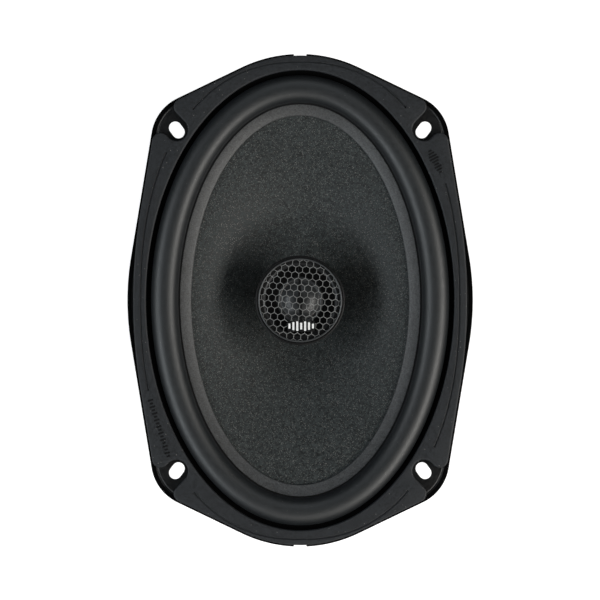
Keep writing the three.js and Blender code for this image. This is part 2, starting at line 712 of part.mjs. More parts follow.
// ---------------------------------------------------------------------------------------------------
// Motor
// ---------------------------------------------------------------------------------------------------
function tYoke() {
  const profile = [
    [0, 0],
    [PLATE_RADIUS, 0],
    [PLATE_RADIUS, BACK_PLATE],
    [poleRadius, BACK_PLATE],
    [poleRadius, poleTop],
    [0, poleTop],
  ];
  return cut(
    revolve(profile, 32),
    cylinder(POST_RADIUS + FIT, -1, poleTop + 1),
    cylinder(REAR_RECESS_RADIUS, -1, REAR_RECESS_DEPTH),
    box([0, PLATE_RADIUS + 1], [-GROOVE_WIDTH / 2, GROOVE_WIDTH / 2], [-1, GROOVE_DEPTH]),
  );
}
add("t_yoke", tYoke(), "zinc");
add(
  "ring_magnet",
  tube(MAGNET_BORE, MAGNET_RADIUS, magnetBottom, magnetBottom + MAGNET_HEIGHT, 32),
  "ferrite",
);
add(
  "front_plate",
  cut(
    tube(windingOuter + GAP_CLEARANCE, PLATE_RADIUS, frontPlateBottom, frontPlateTop, 32),
    ...holesAt(rivetPlaces, RIVET_SHANK + FIT, frontPlateTop - RIVET_DEPTH, frontPlateTop + 1),
  ),
  "zinc",
);

function rivet(shank, head, foot, seat, headHeight) {
  const profile = [
    [0, foot],
    [shank, foot],
    [shank, seat],
    [head, seat],
    [head * RIVET_SHOULDER, seat + headHeight * 0.6],
    [head * RIVET_CROWN, seat + headHeight],
    [0, seat + headHeight],
  ];
  return revolve(profile, 12);
}

rivetPlaces.forEach(([x, y], i) => {
  const seat = ringBottom + SHEET + BOND;
  const foot = frontPlateTop - RIVET_DEPTH + BOND;
  const shape = rivet(RIVET_SHANK, RIVET_HEAD, foot, seat, RIVET_HEAD_HEIGHT).translate(x, y, 0);
  add(`basket_rivet_${i + 1}`, shape, "zinc");
});

// ---------------------------------------------------------------------------------------------------
// Tweeter post
// ---------------------------------------------------------------------------------------------------
add("tweeter_post", tube(POST_BORE, POST_RADIUS, postBottom, postTop, 24), "zinc");

const recessFloor = REAR_RECESS_DEPTH - BOND;
add(
  "post_washer",
  tube(POST_RADIUS + FIT, WASHER_RADIUS, recessFloor - WASHER_HEIGHT, recessFloor, 24),
  "zinc",
);

function postNut() {
  const top = recessFloor - WASHER_HEIGHT - BOND;
  const corner = POST_NUT_FLATS / 2 / Math.cos(Math.PI / 6);
  const blank = new THREE.CylinderGeometry(corner, corner, NUT_HEIGHT, 6).rotateX(Math.PI / 2);
  blank.translate(0, 0, top - NUT_HEIGHT / 2);
  return cut(blank, cylinder(POST_RADIUS + FIT, 0, top + 1));
}
add("post_nut", postNut(), "zinc");

// ---------------------------------------------------------------------------------------------------
// Tweeter
// ---------------------------------------------------------------------------------------------------
function tweeterCup() {
  const rimSeat = TWEETER_TOP - GRILLE_RIM_DEPTH - BOND;
  const edgeTop = TWEETER_TOP - CUP_EDGE_BELOW_TOP;
  const profile = [
    [POST_RADIUS + FIT, cupBottom],
    [CUP_FOOT_RADIUS, cupBottom],
    [CUP_RADIUS - CUP_SHOULDER_INSET, cupBottom + CUP_SHOULDER_HEIGHT],
    [CUP_RADIUS - CUP_BELLY_INSET, cupBottom + 2 * CUP_SHOULDER_HEIGHT],
    [CUP_RADIUS, edgeTop - CUP_EDGE_ROUND],
    [CUP_RADIUS - CUP_EDGE_ROUND, edgeTop],
    [GRILLE_RADIUS + FIT, edgeTop],
    [GRILLE_RADIUS + FIT, rimSeat],
    [CUP_BORE, rimSeat],
    [CUP_BORE, cupFloorTop],
    [POST_RADIUS + FIT, cupFloorTop],
  ];
  return revolve(profile, 28);
}
add("tweeter_cup", tweeterCup(), "blackPlastic");

const poleDiscRadius = DOME_RADIUS - POLE_DISC_INSET;
const coilInner = DOME_RADIUS - TWEETER_COIL_WALL / 2;
const coilOuter = DOME_RADIUS + TWEETER_COIL_WALL / 2;
const potBore = DOME_RADIUS + POT_BORE_MARGIN;
const potFloorTop = potBottom + POT_FLOOR;
const tweeterMagnetTop = potFloorTop + BOND + (potTop - potFloorTop) / 2;
add(
  "tweeter_pot",
  revolve(
    [
      [0, potBottom],
      [POT_RADIUS, potBottom],
      [POT_RADIUS, potTop],
      [potBore, potTop],
      [potBore, potFloorTop],
      [0, potFloorTop],
    ],
    32,
  ),
  "zinc",
);
add(
  "tweeter_magnet",
  cylinder(poleDiscRadius - MAGNET_INSET, potFloorTop + BOND, tweeterMagnetTop, 24),
  "zinc",
);
add("tweeter_pole_disc", cylinder(poleDiscRadius, tweeterMagnetTop + BOND, potTop, 24), "zinc");
add("tweeter_coil", tube(coilInner, coilOuter, potTop - TWEETER_COIL_DEPTH, domeFoot - BOND, 32), "copper");

function tweeterDome() {
  const steps = 4;
  const sphere = (DOME_RADIUS ** 2 + DOME_RISE ** 2) / (2 * DOME_RISE);
  const span = Math.asin(DOME_RADIUS / sphere);
  const over = Array.from({ length: steps + 1 }, (_, i) => {
    const angle = (span * (steps - i)) / steps;
    const drop = sphere * (1 - Math.cos(angle));
    return [sphere * Math.sin(angle), domeFoot + DOME_RISE + DOME_WALL - drop];
  });
  const under = over.map(([r, z]) => [r, z - DOME_WALL]).reverse();
  return revolve([...under, ...over], 24);
}
add("tweeter_dome", tweeterDome(), "silk");

const suspensionOuter = POT_RADIUS - SUSPENSION_EDGE_INSET;
function tweeterSuspension() {
  const inner = coilOuter + BOND;
  const level = potTop + BOND;
  const profile = [
    [inner, level],
    [inner + SUSPENSION_ROLL, level + SUSPENSION_ROLL],
    [(inner + potBore) / 2 + SUSPENSION_ROLL, level + SUSPENSION_ROLL],
    [suspensionOuter, level],
    [suspensionOuter, level + DOME_WALL],
    [potBore + SUSPENSION_LAND, level + DOME_WALL],
    [potBore, level + SUSPENSION_ROLL + 2 * DOME_WALL],
    [inner, level + DOME_WALL],
  ];
  return revolve(profile, 24);
}
add("tweeter_suspension", tweeterSuspension(), "silk");

function tweeterFaceplate() {
  const foot = potTop + BOND + DOME_WALL + BOND;
  const mouth = potBore + HORN_MARGIN;
  const top = guardBottom - GUARD_GAP;
  const profile = [
    [mouth, foot],
    [CUP_BORE - FIT, foot],
    [CUP_BORE - FIT, top],
    [CUP_BORE - HORN_RIM, top],
    [mouth + HORN_FLARE, foot + HORN_FLARE],
    [mouth, foot + HORN_FOOT],
  ];
  return revolve(profile, 24);
}
add("tweeter_faceplate", tweeterFaceplate(), "blackPlastic");

// A thin bridge with a small button over the dome, under the grille.
function domeGuard() {
  const reach = CUP_BORE - GUARD_END_GAP;
  const bar = box([-GUARD_HALF_WIDTH, GUARD_HALF_WIDTH], [-reach, reach], [guardBottom, guardTop]);
  return join(bar, cylinder(GUARD_BUTTON, guardBottom, guardTop, 16));
}
add("dome_guard", domeGuard(), "blackPlastic");

add(
  "grille_rim",
  tube(GRILLE_RADIUS - GRILLE_RIM, GRILLE_RADIUS, TWEETER_TOP - GRILLE_RIM_DEPTH, TWEETER_TOP, 32),
  "grilleSteel",
);

// Centres of the hexagons that lie wholly inside a circle.
function hexCentres(reach) {
  const rowPitch = HEX_PITCH * Math.sin(Math.PI / 3);
  const rows = Math.ceil(reach / rowPitch);
  const centres = [];
  for (let row = -rows; row <= rows; row++) {
    for (let column = -rows - 1; column <= rows + 1; column++) {
      const centre = new THREE.Vector2((column + (row % 2) / 2) * HEX_PITCH, row * rowPitch);
      if (centre.length() < reach) centres.push(centre.rotateAround(new THREE.Vector2(), HEX_TURN));
    }
  }
  return centres;
}

const grilleDisc = GRILLE_RADIUS - GRILLE_RIM - BOND;
const hexCorner = (HEX_PITCH - HEX_BAR) / 2 / Math.cos(Math.PI / 6);
function grille() {
  const edge = new THREE.EllipseCurve(0, 0, grilleDisc, grilleDisc);
  const disc = new THREE.Shape(edge.getPoints(48).slice(1));
  hexCentres(grilleDisc - hexCorner - HEX_BAR).forEach((centre) => {
    const corners = Array.from({ length: 6 }, (_, i) => {
      const angle = HEX_TURN + Math.PI / 6 + (i * Math.PI) / 3;
      return new THREE.Vector2(Math.cos(angle), Math.sin(angle)).multiplyScalar(hexCorner).add(centre);
    });
    disc.holes.push(new THREE.Path(corners));
  });
  return extrude(disc, grilleBottom, grilleTop);
}
add("tweeter_grille", grille(), "grilleSteel");

// A plain badge: a small plate stuck to the lower half of the grille.
const badgeBottom = grilleTop + BOND;
add(
  "grille_badge",
  box(
    [-BADGE_WIDTH / 2, BADGE_WIDTH / 2],
    [BADGE_Y - BADGE_LENGTH / 2, BADGE_Y + BADGE_LENGTH / 2],
    [badgeBottom, badgeBottom + BADGE_THICKNESS],
  ),
  "badge",
);

// ---------------------------------------------------------------------------------------------------
// Terminals and crossover
// ---------------------------------------------------------------------------------------------------
const boardTop = landingTop - SHEET - BOND;
const boardBottom = boardTop - BOARD_THICKNESS;
const tabTop = boardBottom - BOND;
const tabBottom = tabTop - TAB_THICKNESS;
const eyeletPlaces = TABS.map((tab) => [EYELET_X, tab.y]);

add(
  "terminal_board",
  cut(
    box(
      [BOARD_INNER, EAR_REACH - BOARD_MARGIN],
      [-EAR_HALF_WIDTH + BOARD_MARGIN, EAR_HALF_WIDTH - BOARD_MARGIN],
      [boardBottom, boardTop],
    ),
    ...holesAt([...eyeletPlaces, ...boardRivetPlaces], EYELET_RADIUS + FIT, boardBottom - 1, boardTop + 1),
  ),
  "board",
);

TABS.forEach(({ name, width, y }) => {
  const heights = [tabBottom, tabTop];
  const tip = EAR_REACH + TAB_REACH;
  const foot = box([EYELET_X - TAB_FOOT, EYELET_X + TAB_FOOT + 1], [y - TAB_FOOT, y + TAB_FOOT], heights);
  const blade = box([EYELET_X, tip], [y - width / 2, y + width / 2], heights);
  const holes = [
    ...holesAt([[EYELET_X, y]], EYELET_RADIUS + FIT, tabBottom - 1, tabTop + 1),
    ...holesAt([[tip - TAB_HOLE_INSET, y]], TAB_HOLE, tabBottom - 1, tabTop + 1),
  ];
  add(name, cut(join(foot, blade), ...holes), "brass");
});

// An eyelet through board and tab, its wide head on the board's front.
const eyeletHeadTop = boardTop + BOND + EYELET_HEAD_HEIGHT;
eyeletPlaces.forEach(([x, y], i) => {
  const curlTop = tabBottom - BOND;
  const curlBottom = curlTop - EYELET_CURL_HEIGHT;
  const profile = [
    [0, curlBottom],
    [EYELET_HEAD * EYELET_CURL, curlBottom],
    [EYELET_HEAD * EYELET_CURL, curlTop],
    [EYELET_RADIUS, curlTop],
    [EYELET_RADIUS, boardTop + BOND],
    [EYELET_HEAD, boardTop + BOND],
    [EYELET_HEAD * 0.7, eyeletHeadTop],
    [0, eyeletHeadTop],
  ];
  add(`terminal_eyelet_${i + 1}`, revolve(profile, 12).translate(x, y, 0), "brass");
});

boardRivetPlaces.forEach(([x, y], i) => {
  const seat = landingTop + BOND;
  const shape = rivet(EYELET_RADIUS, EYELET_HEAD, boardBottom, seat, BOARD_RIVET_HEAD_HEIGHT);
  add(`board_rivet_${i + 1}`, shape.translate(x, y, 0), "zinc");
});

const capacitorX = BOARD_INNER + CAPACITOR_MARGIN + CAPACITOR_RADIUS;
const capacitorZ = boardBottom - BOND - CAPACITOR_RADIUS;
const capacitorEnds = [CAPACITOR_Y - CAPACITOR_LENGTH / 2, CAPACITOR_Y + CAPACITOR_LENGTH / 2];
add(
  "crossover_capacitor",
  new THREE.CylinderGeometry(CAPACITOR_RADIUS, CAPACITOR_RADIUS, CAPACITOR_LENGTH, 24).translate(
    capacitorX,
    CAPACITOR_Y,
    capacitorZ,
  ),
  "capacitorSleeve",
);

// ---------------------------------------------------------------------------------------------------
// Wires
// ---------------------------------------------------------------------------------------------------
function wire(points, radius, steps) {
  const section = new THREE.Shape(new THREE.EllipseCurve(0, 0, radius, radius).getPoints(6).slice(1));
  const places = points.map((p) => new THREE.Vector3(...p));
  const path = new THREE.CatmullRomCurve3(places, false, "centripetal");
  return new THREE.ExtrudeGeometry(section, { steps, extrudePath: path, bevelEnabled: false });
}

// Each tweeter lead comes down the post, runs out along the back plate's groove, and climbs the motor's
// side: one to the capacitor's near end, the other to the board.
const grooveZ = GROOVE_DEPTH / 2;
const climbX = Math.max(MAGNET_RADIUS, PLATE_RADIUS) + LEAD_FROM_MOTOR + LEAD_RADIUS;
function tweeterLead(side, finish) {
  const y = side * LEAD_SPREAD;
  return [
    [0, y, postTop + 0.2],
    [0, y, (postTop + postBottom) / 2],
    [0, y, postBottom + 3],
    [0.6, y, postBottom],
    [2.2, y, grooveZ],
    [POST_RADIUS + 2, y, grooveZ],
    [PLATE_RADIUS / 2, y, grooveZ],
    [climbX - 3, y, grooveZ],
    [climbX - 0.6, y, grooveZ + 0.8],
    [climbX, y, grooveZ + 3.5],
    [climbX, y, frontPlateBottom],
    ...finish,
  ];
}
const capacitorNear = [capacitorX, capacitorEnds[0] - BOND, capacitorZ];
add(
  "tweeter_lead_positive",
  wire(
    tweeterLead(1, [
      [climbX + 0.5, LEAD_SPREAD, capacitorZ - 4],
      [(climbX + capacitorX) / 2, LEAD_SPREAD + 0.4, capacitorZ - 0.8],
      [capacitorX, (LEAD_SPREAD + capacitorEnds[0]) / 2, capacitorZ],
      capacitorNear,
    ]),
    LEAD_RADIUS,
    36,
  ),
  "redSleeve",
);
add(
  "tweeter_lead_negative",
  wire(
    tweeterLead(-1, [
      [climbX + 0.3, -LEAD_SPREAD, boardBottom - 6],
      [climbX + 1.2, -LEAD_SPREAD, boardBottom - 2],
      [climbX + 1.2, -LEAD_SPREAD, boardBottom - BOND],
    ]),
    LEAD_RADIUS,
    36,
  ),
  "blackSleeve",
);
const farEnd = capacitorEnds[1] + BOND;
add(
  "capacitor_lead",
  wire(
    [
      [capacitorX, farEnd, capacitorZ],
      [capacitorX, farEnd + 1.4, capacitorZ + 0.3],
      [capacitorX, farEnd + 2, capacitorZ + 2],
      [capacitorX, farEnd + 2, boardBottom - BOND],
    ],
    CAPACITOR_LEAD_RADIUS,
    12,
  ),
  "tinsel",
);

// Tinsel leads hang in a slack loop from the eyelets, through the wire window, to the cone's back.
const tinselStart = eyeletHeadTop + BOND;
const tinselTop = landingTop + TINSEL_SAG_HEIGHT;
const coneX = THREE.MathUtils.lerp(neckRadius, innerLipEdge, TINSEL_CONE_SHARE);
const coneBack = coneHeight(TINSEL_CONE_SHARE) - CONE_WALL - TINSEL_RADIUS / 2;
TABS.forEach(({ y }, i) => {
  const inwards = Math.sign(y) * (TINSEL_FIRST_Y + TINSEL_STEP_Y * i);
  const points = [
    [EYELET_X, y, tinselStart],
    [EYELET_X - 0.2, y, tinselStart + 3],
    [EYELET_X - 1.5, y, tinselTop - 2],
    [EYELET_X - 7, (2 * y + inwards) / 3, tinselTop],
    [coneX + 7, (y + 2 * inwards) / 3, tinselTop],
    [coneX + 1.5, inwards, coneBack - 4.5],
    [coneX, inwards, coneBack],
  ];
  add(i === 0 ? "tinsel_lead_positive" : "tinsel_lead_negative", wire(points, TINSEL_RADIUS, 20), "tinsel");
});

export default parts;
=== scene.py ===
"""A 6 x 9 inch coaxial car loudspeaker, finished for close views from every side."""

import math

import bmesh
import bpy
import numpy as np
from mathutils import Matrix, Vector


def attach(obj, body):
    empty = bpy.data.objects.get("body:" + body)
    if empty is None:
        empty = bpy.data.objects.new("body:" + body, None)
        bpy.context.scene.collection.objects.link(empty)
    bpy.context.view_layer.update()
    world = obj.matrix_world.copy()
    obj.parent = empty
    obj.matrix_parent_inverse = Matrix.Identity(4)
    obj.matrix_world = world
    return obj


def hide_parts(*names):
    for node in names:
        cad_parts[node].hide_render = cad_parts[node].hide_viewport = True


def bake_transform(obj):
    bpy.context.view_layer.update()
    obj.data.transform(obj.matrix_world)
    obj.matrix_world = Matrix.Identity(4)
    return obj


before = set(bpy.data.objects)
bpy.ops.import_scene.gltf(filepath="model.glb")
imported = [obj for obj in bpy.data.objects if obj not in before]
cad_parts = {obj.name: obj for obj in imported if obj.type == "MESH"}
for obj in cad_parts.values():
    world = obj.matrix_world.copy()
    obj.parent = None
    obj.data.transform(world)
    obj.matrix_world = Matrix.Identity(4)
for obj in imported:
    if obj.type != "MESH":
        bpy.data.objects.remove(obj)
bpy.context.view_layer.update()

MM = 0.001
TURN = 2 * math.pi
WELD = 2e-6

# Sizes in millimetres. They are the CAD part's own.
HALF_WIDTH, HALF_LENGTH = 82.0, 117.0
SIDE_RADIUS, END_RADIUS, CORNER_RADIUS = 126.0, 64.0, 22.0
SIDE_NORMAL, END_NORMAL = math.radians(9.4), math.radians(90 - 25.7)
SHEET = 1.5
FLANGE_TOP = 75.0
SLOT_WIDTH, SLOT_LENGTH, SLOT_ANGLE = 6.0, 8.6, math.radians(53.3)
NOTCH_DEPTH, NOTCH_HALF = 1.3, 3.0
OPENING = 71.2
STRETCH = 36.0
LANDING_TOP, LANDING_OUTER, LANDING_INNER = 40.1, 49.0, 42.5
WALL_FOOT = 66.5
ROLL_OUTER, ROLL_INNER, LIP_EDGE = 70.9, 57.3, 51.7
ROLL_FOOT, ROLL_HEIGHT, RUBBER = 75.9, 5.5, 0.8
NECK_RADIUS, NECK_TOP = 16.4, 51.0
CONE_BREAK_TOP, CONE_RIM_TOP = 73.5, 75.0
TRIM_TOP = 79.5


# --- Nodes -------------------------------------------------------------------------------------------
def feed(tree, made, inputs):
    """Each input gets a link from a socket, or a plain value."""
    for key, value in inputs.items():
        if isinstance(value, bpy.types.NodeSocket):
            tree.links.new(value, made.inputs[key])
        else:
            made.inputs[key].default_value = value
    return made


def node(tree, kind, inputs=None, **settings):
    made = tree.nodes.new(kind)
    for key, value in settings.items():
        setattr(made, key, value)
    return feed(tree, made, inputs or {})


def maths(tree, operation, *values):
    return node(tree, "ShaderNodeMath", dict(enumerate(values)), operation=operation).outputs[0]


class Group:
    """A node group being built, from float inputs {name: default} or other ones as (type, default)."""

    def __init__(self, kind, name, inputs, outputs):
        self.tree = bpy.data.node_groups.new(name, kind)
        for label, value in inputs.items():
            socket_type, default = value if isinstance(value, tuple) else ("NodeSocketFloat", value)
            socket = self.tree.interface.new_socket(label, in_out="INPUT", socket_type=socket_type)
            if default is not None:
                socket.default_value = default
        for label, socket_type in outputs.items():
            self.tree.interface.new_socket(label, in_out="OUTPUT", socket_type=socket_type)
        self.given = self.tree.nodes.new("NodeGroupInput").outputs
        self.out = self.tree.nodes.new("NodeGroupOutput").inputs

    def all(self, kind, inputs=None, **settings):
        """A new node's outputs."""
        return node(self.tree, kind, inputs, **settings).outputs

    def add(self, kind, inputs=None, **settings):
        """A new node's first output."""
        return self.all(kind, inputs, **settings)[0]

    def sum(self, operation, *values):
        return maths(self.tree, operation, *values)

    def join(self, x=0.0, y=0.0, z=0.0):
        return self.add("ShaderNodeCombineXYZ", {0: x, 1: y, 2: z})

    def split(self, vector):
        return self.all("ShaderNodeSeparateXYZ", {0: vector})

    def reach(self, xyz):
        """The distance from the Z axis."""
        return self.all("ShaderNodeVectorMath", {0: self.join(xyz[0], xyz[1])}, operation="LENGTH")["Value"]

    def give(self, **values):
        for label, value in values.items():
            self.tree.links.new(value, self.out[label])
        return self.tree


# --- Shared surface effects --------------------------------------------------------------------------
class Effect(Group):
    """A group of shader nodes that gives masks and values from the place on the object."""

    def __init__(self, name, outputs, **inputs):
        super().__init__("ShaderNodeTree", name, inputs, dict.fromkeys(outputs, "NodeSocketFloat"))
        self.place = self.all("ShaderNodeTexCoord")["Object"]

    def noise(self, scale, detail=3.0, roughness=0.6, vector=None):
        inputs = {"Vector": vector or self.place, "Scale": scale, "Detail": detail, "Roughness": roughness}
        return self.add("ShaderNodeTexNoise", inputs)

    def cells(self):
        """The distance from the middle of the nearest cell, and that cell's own chance value."""
        made = self.all("ShaderNodeTexVoronoi", {"Vector": self.place, "Scale": self.given["Scale"]})
        return made["Distance"], self.add("ShaderNodeSeparateColor", {0: made["Color"]})


SURFACE = ("Height", "Tone")
CLOUD_SHARE, GRANULE_SHARE = 0.3, 0.65
FLECK_REACH = 0.38


def surface_grain():
    """Fine moulded grain with uneven granules over slow cloudy variation."""
    made = Effect("surface_grain", SURFACE, Scale=2500.0)
    fine = made.noise(made.given["Scale"], 4.0, 0.7)
    broad = made.noise(made.sum("MULTIPLY", made.given["Scale"], 0.02))
    granule = made.cells()[1]
    clouded = made.sum("MULTIPLY_ADD", made.sum("SUBTRACT", broad, fine), CLOUD_SHARE, fine)
    mixed = made.sum("MULTIPLY_ADD", made.sum("SUBTRACT", granule, clouded), GRANULE_SHARE, clouded)
    return made.give(Height=fine, Tone=mixed)


def surface_turned():
    """Concentric lathe marks round Z."""
    made = Effect("surface_turned", SURFACE, Scale=2500.0)
    xyz = made.split(made.place)
    marks = made.noise(made.given["Scale"], 3.0, 0.7, made.join(made.reach(xyz), xyz[2]))
    cloud = made.sum("MULTIPLY", made.noise(60.0, 4.0), 0.5)
    return made.give(Height=marks, Tone=made.sum("MULTIPLY_ADD", marks, 0.5, cloud))


def surface_weave():
    """Plain-woven cloth seen along Z; Scale is threads per metre."""
    made = Effect("surface_weave", SURFACE, Scale=1500.0)
    xyz = made.split(made.place)
    rate = made.sum("MULTIPLY", made.given["Scale"], math.pi)
    warp, weft = [made.sum("SINE", made.sum("MULTIPLY", xyz[axis], rate)) for axis in (0, 1)]
    height = made.sum("MULTIPLY_ADD", made.sum("MULTIPLY", warp, weft), 0.5, 0.5)
    cloud = made.sum("MULTIPLY", made.noise(250.0, 4.0), 0.6)
    return made.give(Height=height, Tone=made.sum("MULTIPLY_ADD", height, 0.4, cloud))


def effect_flecks():
    """Scattered tiny flecks carrying painted glints: Share of the cells carries one."""
    made = Effect("effect_flecks", ["Mask"], Scale=3000.0, Share=0.1)
    distance, chance = made.cells()
    chosen = made.sum("LESS_THAN", chance, made.given["Share"])
    return made.give(Mask=made.sum("MULTIPLY", chosen, made.sum("LESS_THAN", distance, FLECK_REACH)))


def effect_dust():
    """Dust that settles on faces looking up, in uneven patches with specks."""
    made = Effect("effect_dust", ["Mask"], Amount=0.1)
    up = made.split(made.all("ShaderNodeNewGeometry")["Normal"])[2]
    specks = made.sum("MULTIPLY", made.noise(90.0, 5.0), made.noise(4200.0, 2.0))
    settled = made.sum("MULTIPLY", made.sum("MAXIMUM", up, 0.0), specks)
    return made.give(Mask=made.sum("MULTIPLY", settled, made.given["Amount"]))


SURFACES = {"grain": surface_grain(), "turned": surface_turned(), "weave": surface_weave()}
FLECKS_PAINTED_GLINTS = effect_flecks()
DUST = effect_dust()
DUST_COLOUR = (0.45, 0.43, 0.4, 1.0)
PAINTED_GLINT_TINT = (1.04, 1.0, 0.94)


def place_group(tree, group, **values):
    return node(tree, "ShaderNodeGroup", values, node_tree=group).outputs


def mix_colour(tree, factor, a, b):
    return node(tree, "ShaderNodeMix", {0: factor, 6: a, 7: b}, data_type="RGBA").outputs[2]


def shade(colour, factor):
    return (*[min(1.0, channel * factor) for channel in colour], 1.0)


def material(
    name, colour, rough, surface="grain", scale=2500.0, bump=0.25, depth=0.05, tone=0.25, rough_spread=0.08,
    metal=0.0, dust=0.008, painted_glint_flecks=None, coat=0.0, specular=0.5, anisotropic=0.0, sheen=0.0,
):
    """A principled material whose colour, gloss and relief all follow one surface pattern. depth is in mm."""
    made = bpy.data.materials.new(name)
    made.use_nodes = True
    tree = made.node_tree
    pattern = place_group(tree, SURFACES[surface], Scale=scale)
    look = mix_colour(tree, pattern["Tone"], shade(colour, 1 - tone), shade(colour, 1 + tone))
    ends = {0: pattern["Tone"], 1: 0.2, 2: 0.8, 3: rough - rough_spread, 4: rough + rough_spread}
    gloss = node(tree, "ShaderNodeMapRange", ends).outputs[0]
    if painted_glint_flecks:
        fleck_scale, share, bright = painted_glint_flecks
        mask = place_group(tree, FLECKS_PAINTED_GLINTS, Scale=fleck_scale, Share=share)["Mask"]
        # Painted glints: each fleck's colour is lifted several times above the material's own, and its gloss
        # is raised.
        painted_glint = bright * sum(colour) / 3
        look = mix_colour(tree, mask, look, (*[tint * painted_glint for tint in PAINTED_GLINT_TINT], 1.0))
        gloss = maths(tree, "MULTIPLY_ADD", mask, -0.25, gloss)
    if dust:
        veil = place_group(tree, DUST, Amount=dust)["Mask"]
        look = mix_colour(tree, veil, look, DUST_COLOUR)
        gloss = maths(tree, "MULTIPLY_ADD", veil, 0.5, gloss)
    relief = {"Strength": bump, "Distance": depth * MM, "Height": pattern["Height"]}
    relief = node(tree, "ShaderNodeBump", relief).outputs[0]
    inputs = {"Base Color": look, "Roughness": gloss, "Normal": relief}
    inputs |= {"Metallic": metal, "Specular IOR Level": specular, "Anisotropic": anisotropic}
    inputs |= {"Coat Weight": coat, "Coat Roughness": 0.2, "Sheen Weight": sheen}
    feed(tree, tree.nodes["Principled BSDF"], inputs)
    made.diffuse_color = (*colour, 1.0)
    return made


# The finishes of smooth mouldings and of metal that keeps its lathe marks.
SMOOTH = dict(scale=2600, bump=0.3, depth=0.03, tone=0.3)
TURNED = dict(surface="turned", depth=0.02)
PAINT = material(
    "black_coating", (0.0055, 0.0058, 0.0063), 0.4, scale=1800, bump=0.3, depth=0.03, tone=0.3, dust=0.004
)
TRIM = material(
    "trim_moulding", (0.0102, 0.0122, 0.015), 0.57, scale=1700, bump=0.6, depth=0.1, tone=0.7, specular=0.55,
    painted_glint_flecks=(2200, 0.006, 16.0),
)
ROLL = material(
    "surround_rubber", (0.0055, 0.0078, 0.0095), 0.5, scale=2200, bump=0.6, depth=0.05, tone=0.6,
    rough_spread=0.05, specular=0.85, painted_glint_flecks=(2600, 0.004, 16.0),
)
CONE = material(
    "cone_sheet", (0.0262, 0.0308, 0.0312), 0.6, scale=1450, bump=0.7, depth=0.1, tone=1.0,
    rough_spread=0.16, specular=0.3, painted_glint_flecks=(2800, 0.16, 6.5),
)
CLOTH = material(
    "resin_cloth", (0.33, 0.22, 0.085), 0.75, "weave", scale=1300, bump=0.8, depth=0.12, tone=0.4, sheen=0.1
)
SEAL_CLOTH = material(
    "seal_cloth", (0.03, 0.03, 0.031), 0.8, "weave", scale=1800, bump=0.7, depth=0.08, tone=0.4
)
FILM = material("former_film", (0.42, 0.2, 0.05), 0.3, scale=500, bump=0.1, tone=0.15, coat=0.3)
COPPER = material(
    "enamelled_copper", (0.62, 0.22, 0.09), 0.28, scale=900, bump=0.1, tone=0.15, metal=0.9, coat=0.4
)
ZINC = material(
    "zinc_plate", (0.52, 0.52, 0.5), 0.34, scale=3500, bump=0.35, tone=0.14, metal=0.95, anisotropic=0.3,
    **TURNED,
)
BLACK_PLATE = material(
    "black_plated_steel", (0.035, 0.036, 0.038), 0.38, scale=2600, bump=0.3, metal=0.6, **TURNED
)
FERRITE = material(
    "ferrite", (0.034, 0.035, 0.037), 0.62, scale=900, bump=0.5, depth=0.08, tone=0.35,
    painted_glint_flecks=(2200, 0.04, 2.2),
)
MOULDED = material("black_moulding", (0.0035, 0.0037, 0.0041), 0.45, specular=0.3, **SMOOTH)
SILK = material("coated_silk", (0.024, 0.0265, 0.028), 0.42, "weave", coat=0.3, **{**SMOOTH, "tone": 0.2})
GRILLE = material(
    "grille_coating", (0.34, 0.345, 0.34), 0.4, scale=2600, bump=0.2, depth=0.02, tone=0.2, metal=0.5
)
RIM = material(
    "rim_coating", (0.1, 0.104, 0.107), 0.45, scale=3000, bump=0.2, tone=0.18, metal=0.85, **TURNED
)
WHITE = material("badge_ink", (0.95, 0.95, 0.94), 0.45, scale=2500, bump=0.15, depth=0.02, tone=0.05)
BOARD = material("laminated_board", (0.21, 0.105, 0.035), 0.5, scale=1400, tone=0.22, coat=0.15)
BRASS = material("tinned_brass", (0.72, 0.55, 0.26), 0.3, scale=900, bump=0.15, tone=0.12, metal=0.95)
SOLDER = material("solder", (0.62, 0.62, 0.6), 0.22, scale=700, bump=0.3, tone=0.1, metal=0.95)
RED = material("red_sleeve", (0.36, 0.02, 0.018), 0.42, scale=1200, bump=0.15, tone=0.12)
BLACK = material("black_sleeve", (0.013, 0.013, 0.014), 0.42, scale=1200, bump=0.15, tone=0.2)
SHRINK = material("shrink_sleeve", (0.02, 0.05, 0.2), 0.28, scale=700, bump=0.2, tone=0.12, coat=0.4)
TINSEL = material("copper_tinsel", (0.6, 0.33, 0.17), 0.35, scale=1600, bump=0.3, metal=0.8)
GLUE = material("black_glue", (0.008, 0.008, 0.009), 0.25, scale=350, bump=0.4, depth=0.2, tone=0.2, coat=0.3)
HORN = material("horn_moulding", (0.0016, 0.0016, 0.0018), 0.7, specular=0.08, dust=0.001, **SMOOTH)
LIP = material(
    "lip_rubber", (0.031, 0.033, 0.0348), 0.45, scale=2000, bump=0.8, depth=0.12, tone=1.0, specular=0.9,
    painted_glint_flecks=(2500, 0.12, 4.0),
)
# A near-black matt material for painted shade: dark pieces put in gaps and on edges that only fall dark.
PAINTED_SHADE_BLACK = material(
    "painted_shade_black", (0.0013, 0.0013, 0.0014), 0.85, scale=900, bump=0.4, depth=0.08, tone=0.5,
    specular=0.05, dust=0.001,
)
FLOOR = material("pale_floor", (0.5, 0.5, 0.5), 0.8, scale=300, bump=0.02, tone=0.01, dust=0.0, specular=0.1)
FLOOR_GLOW = 0.84


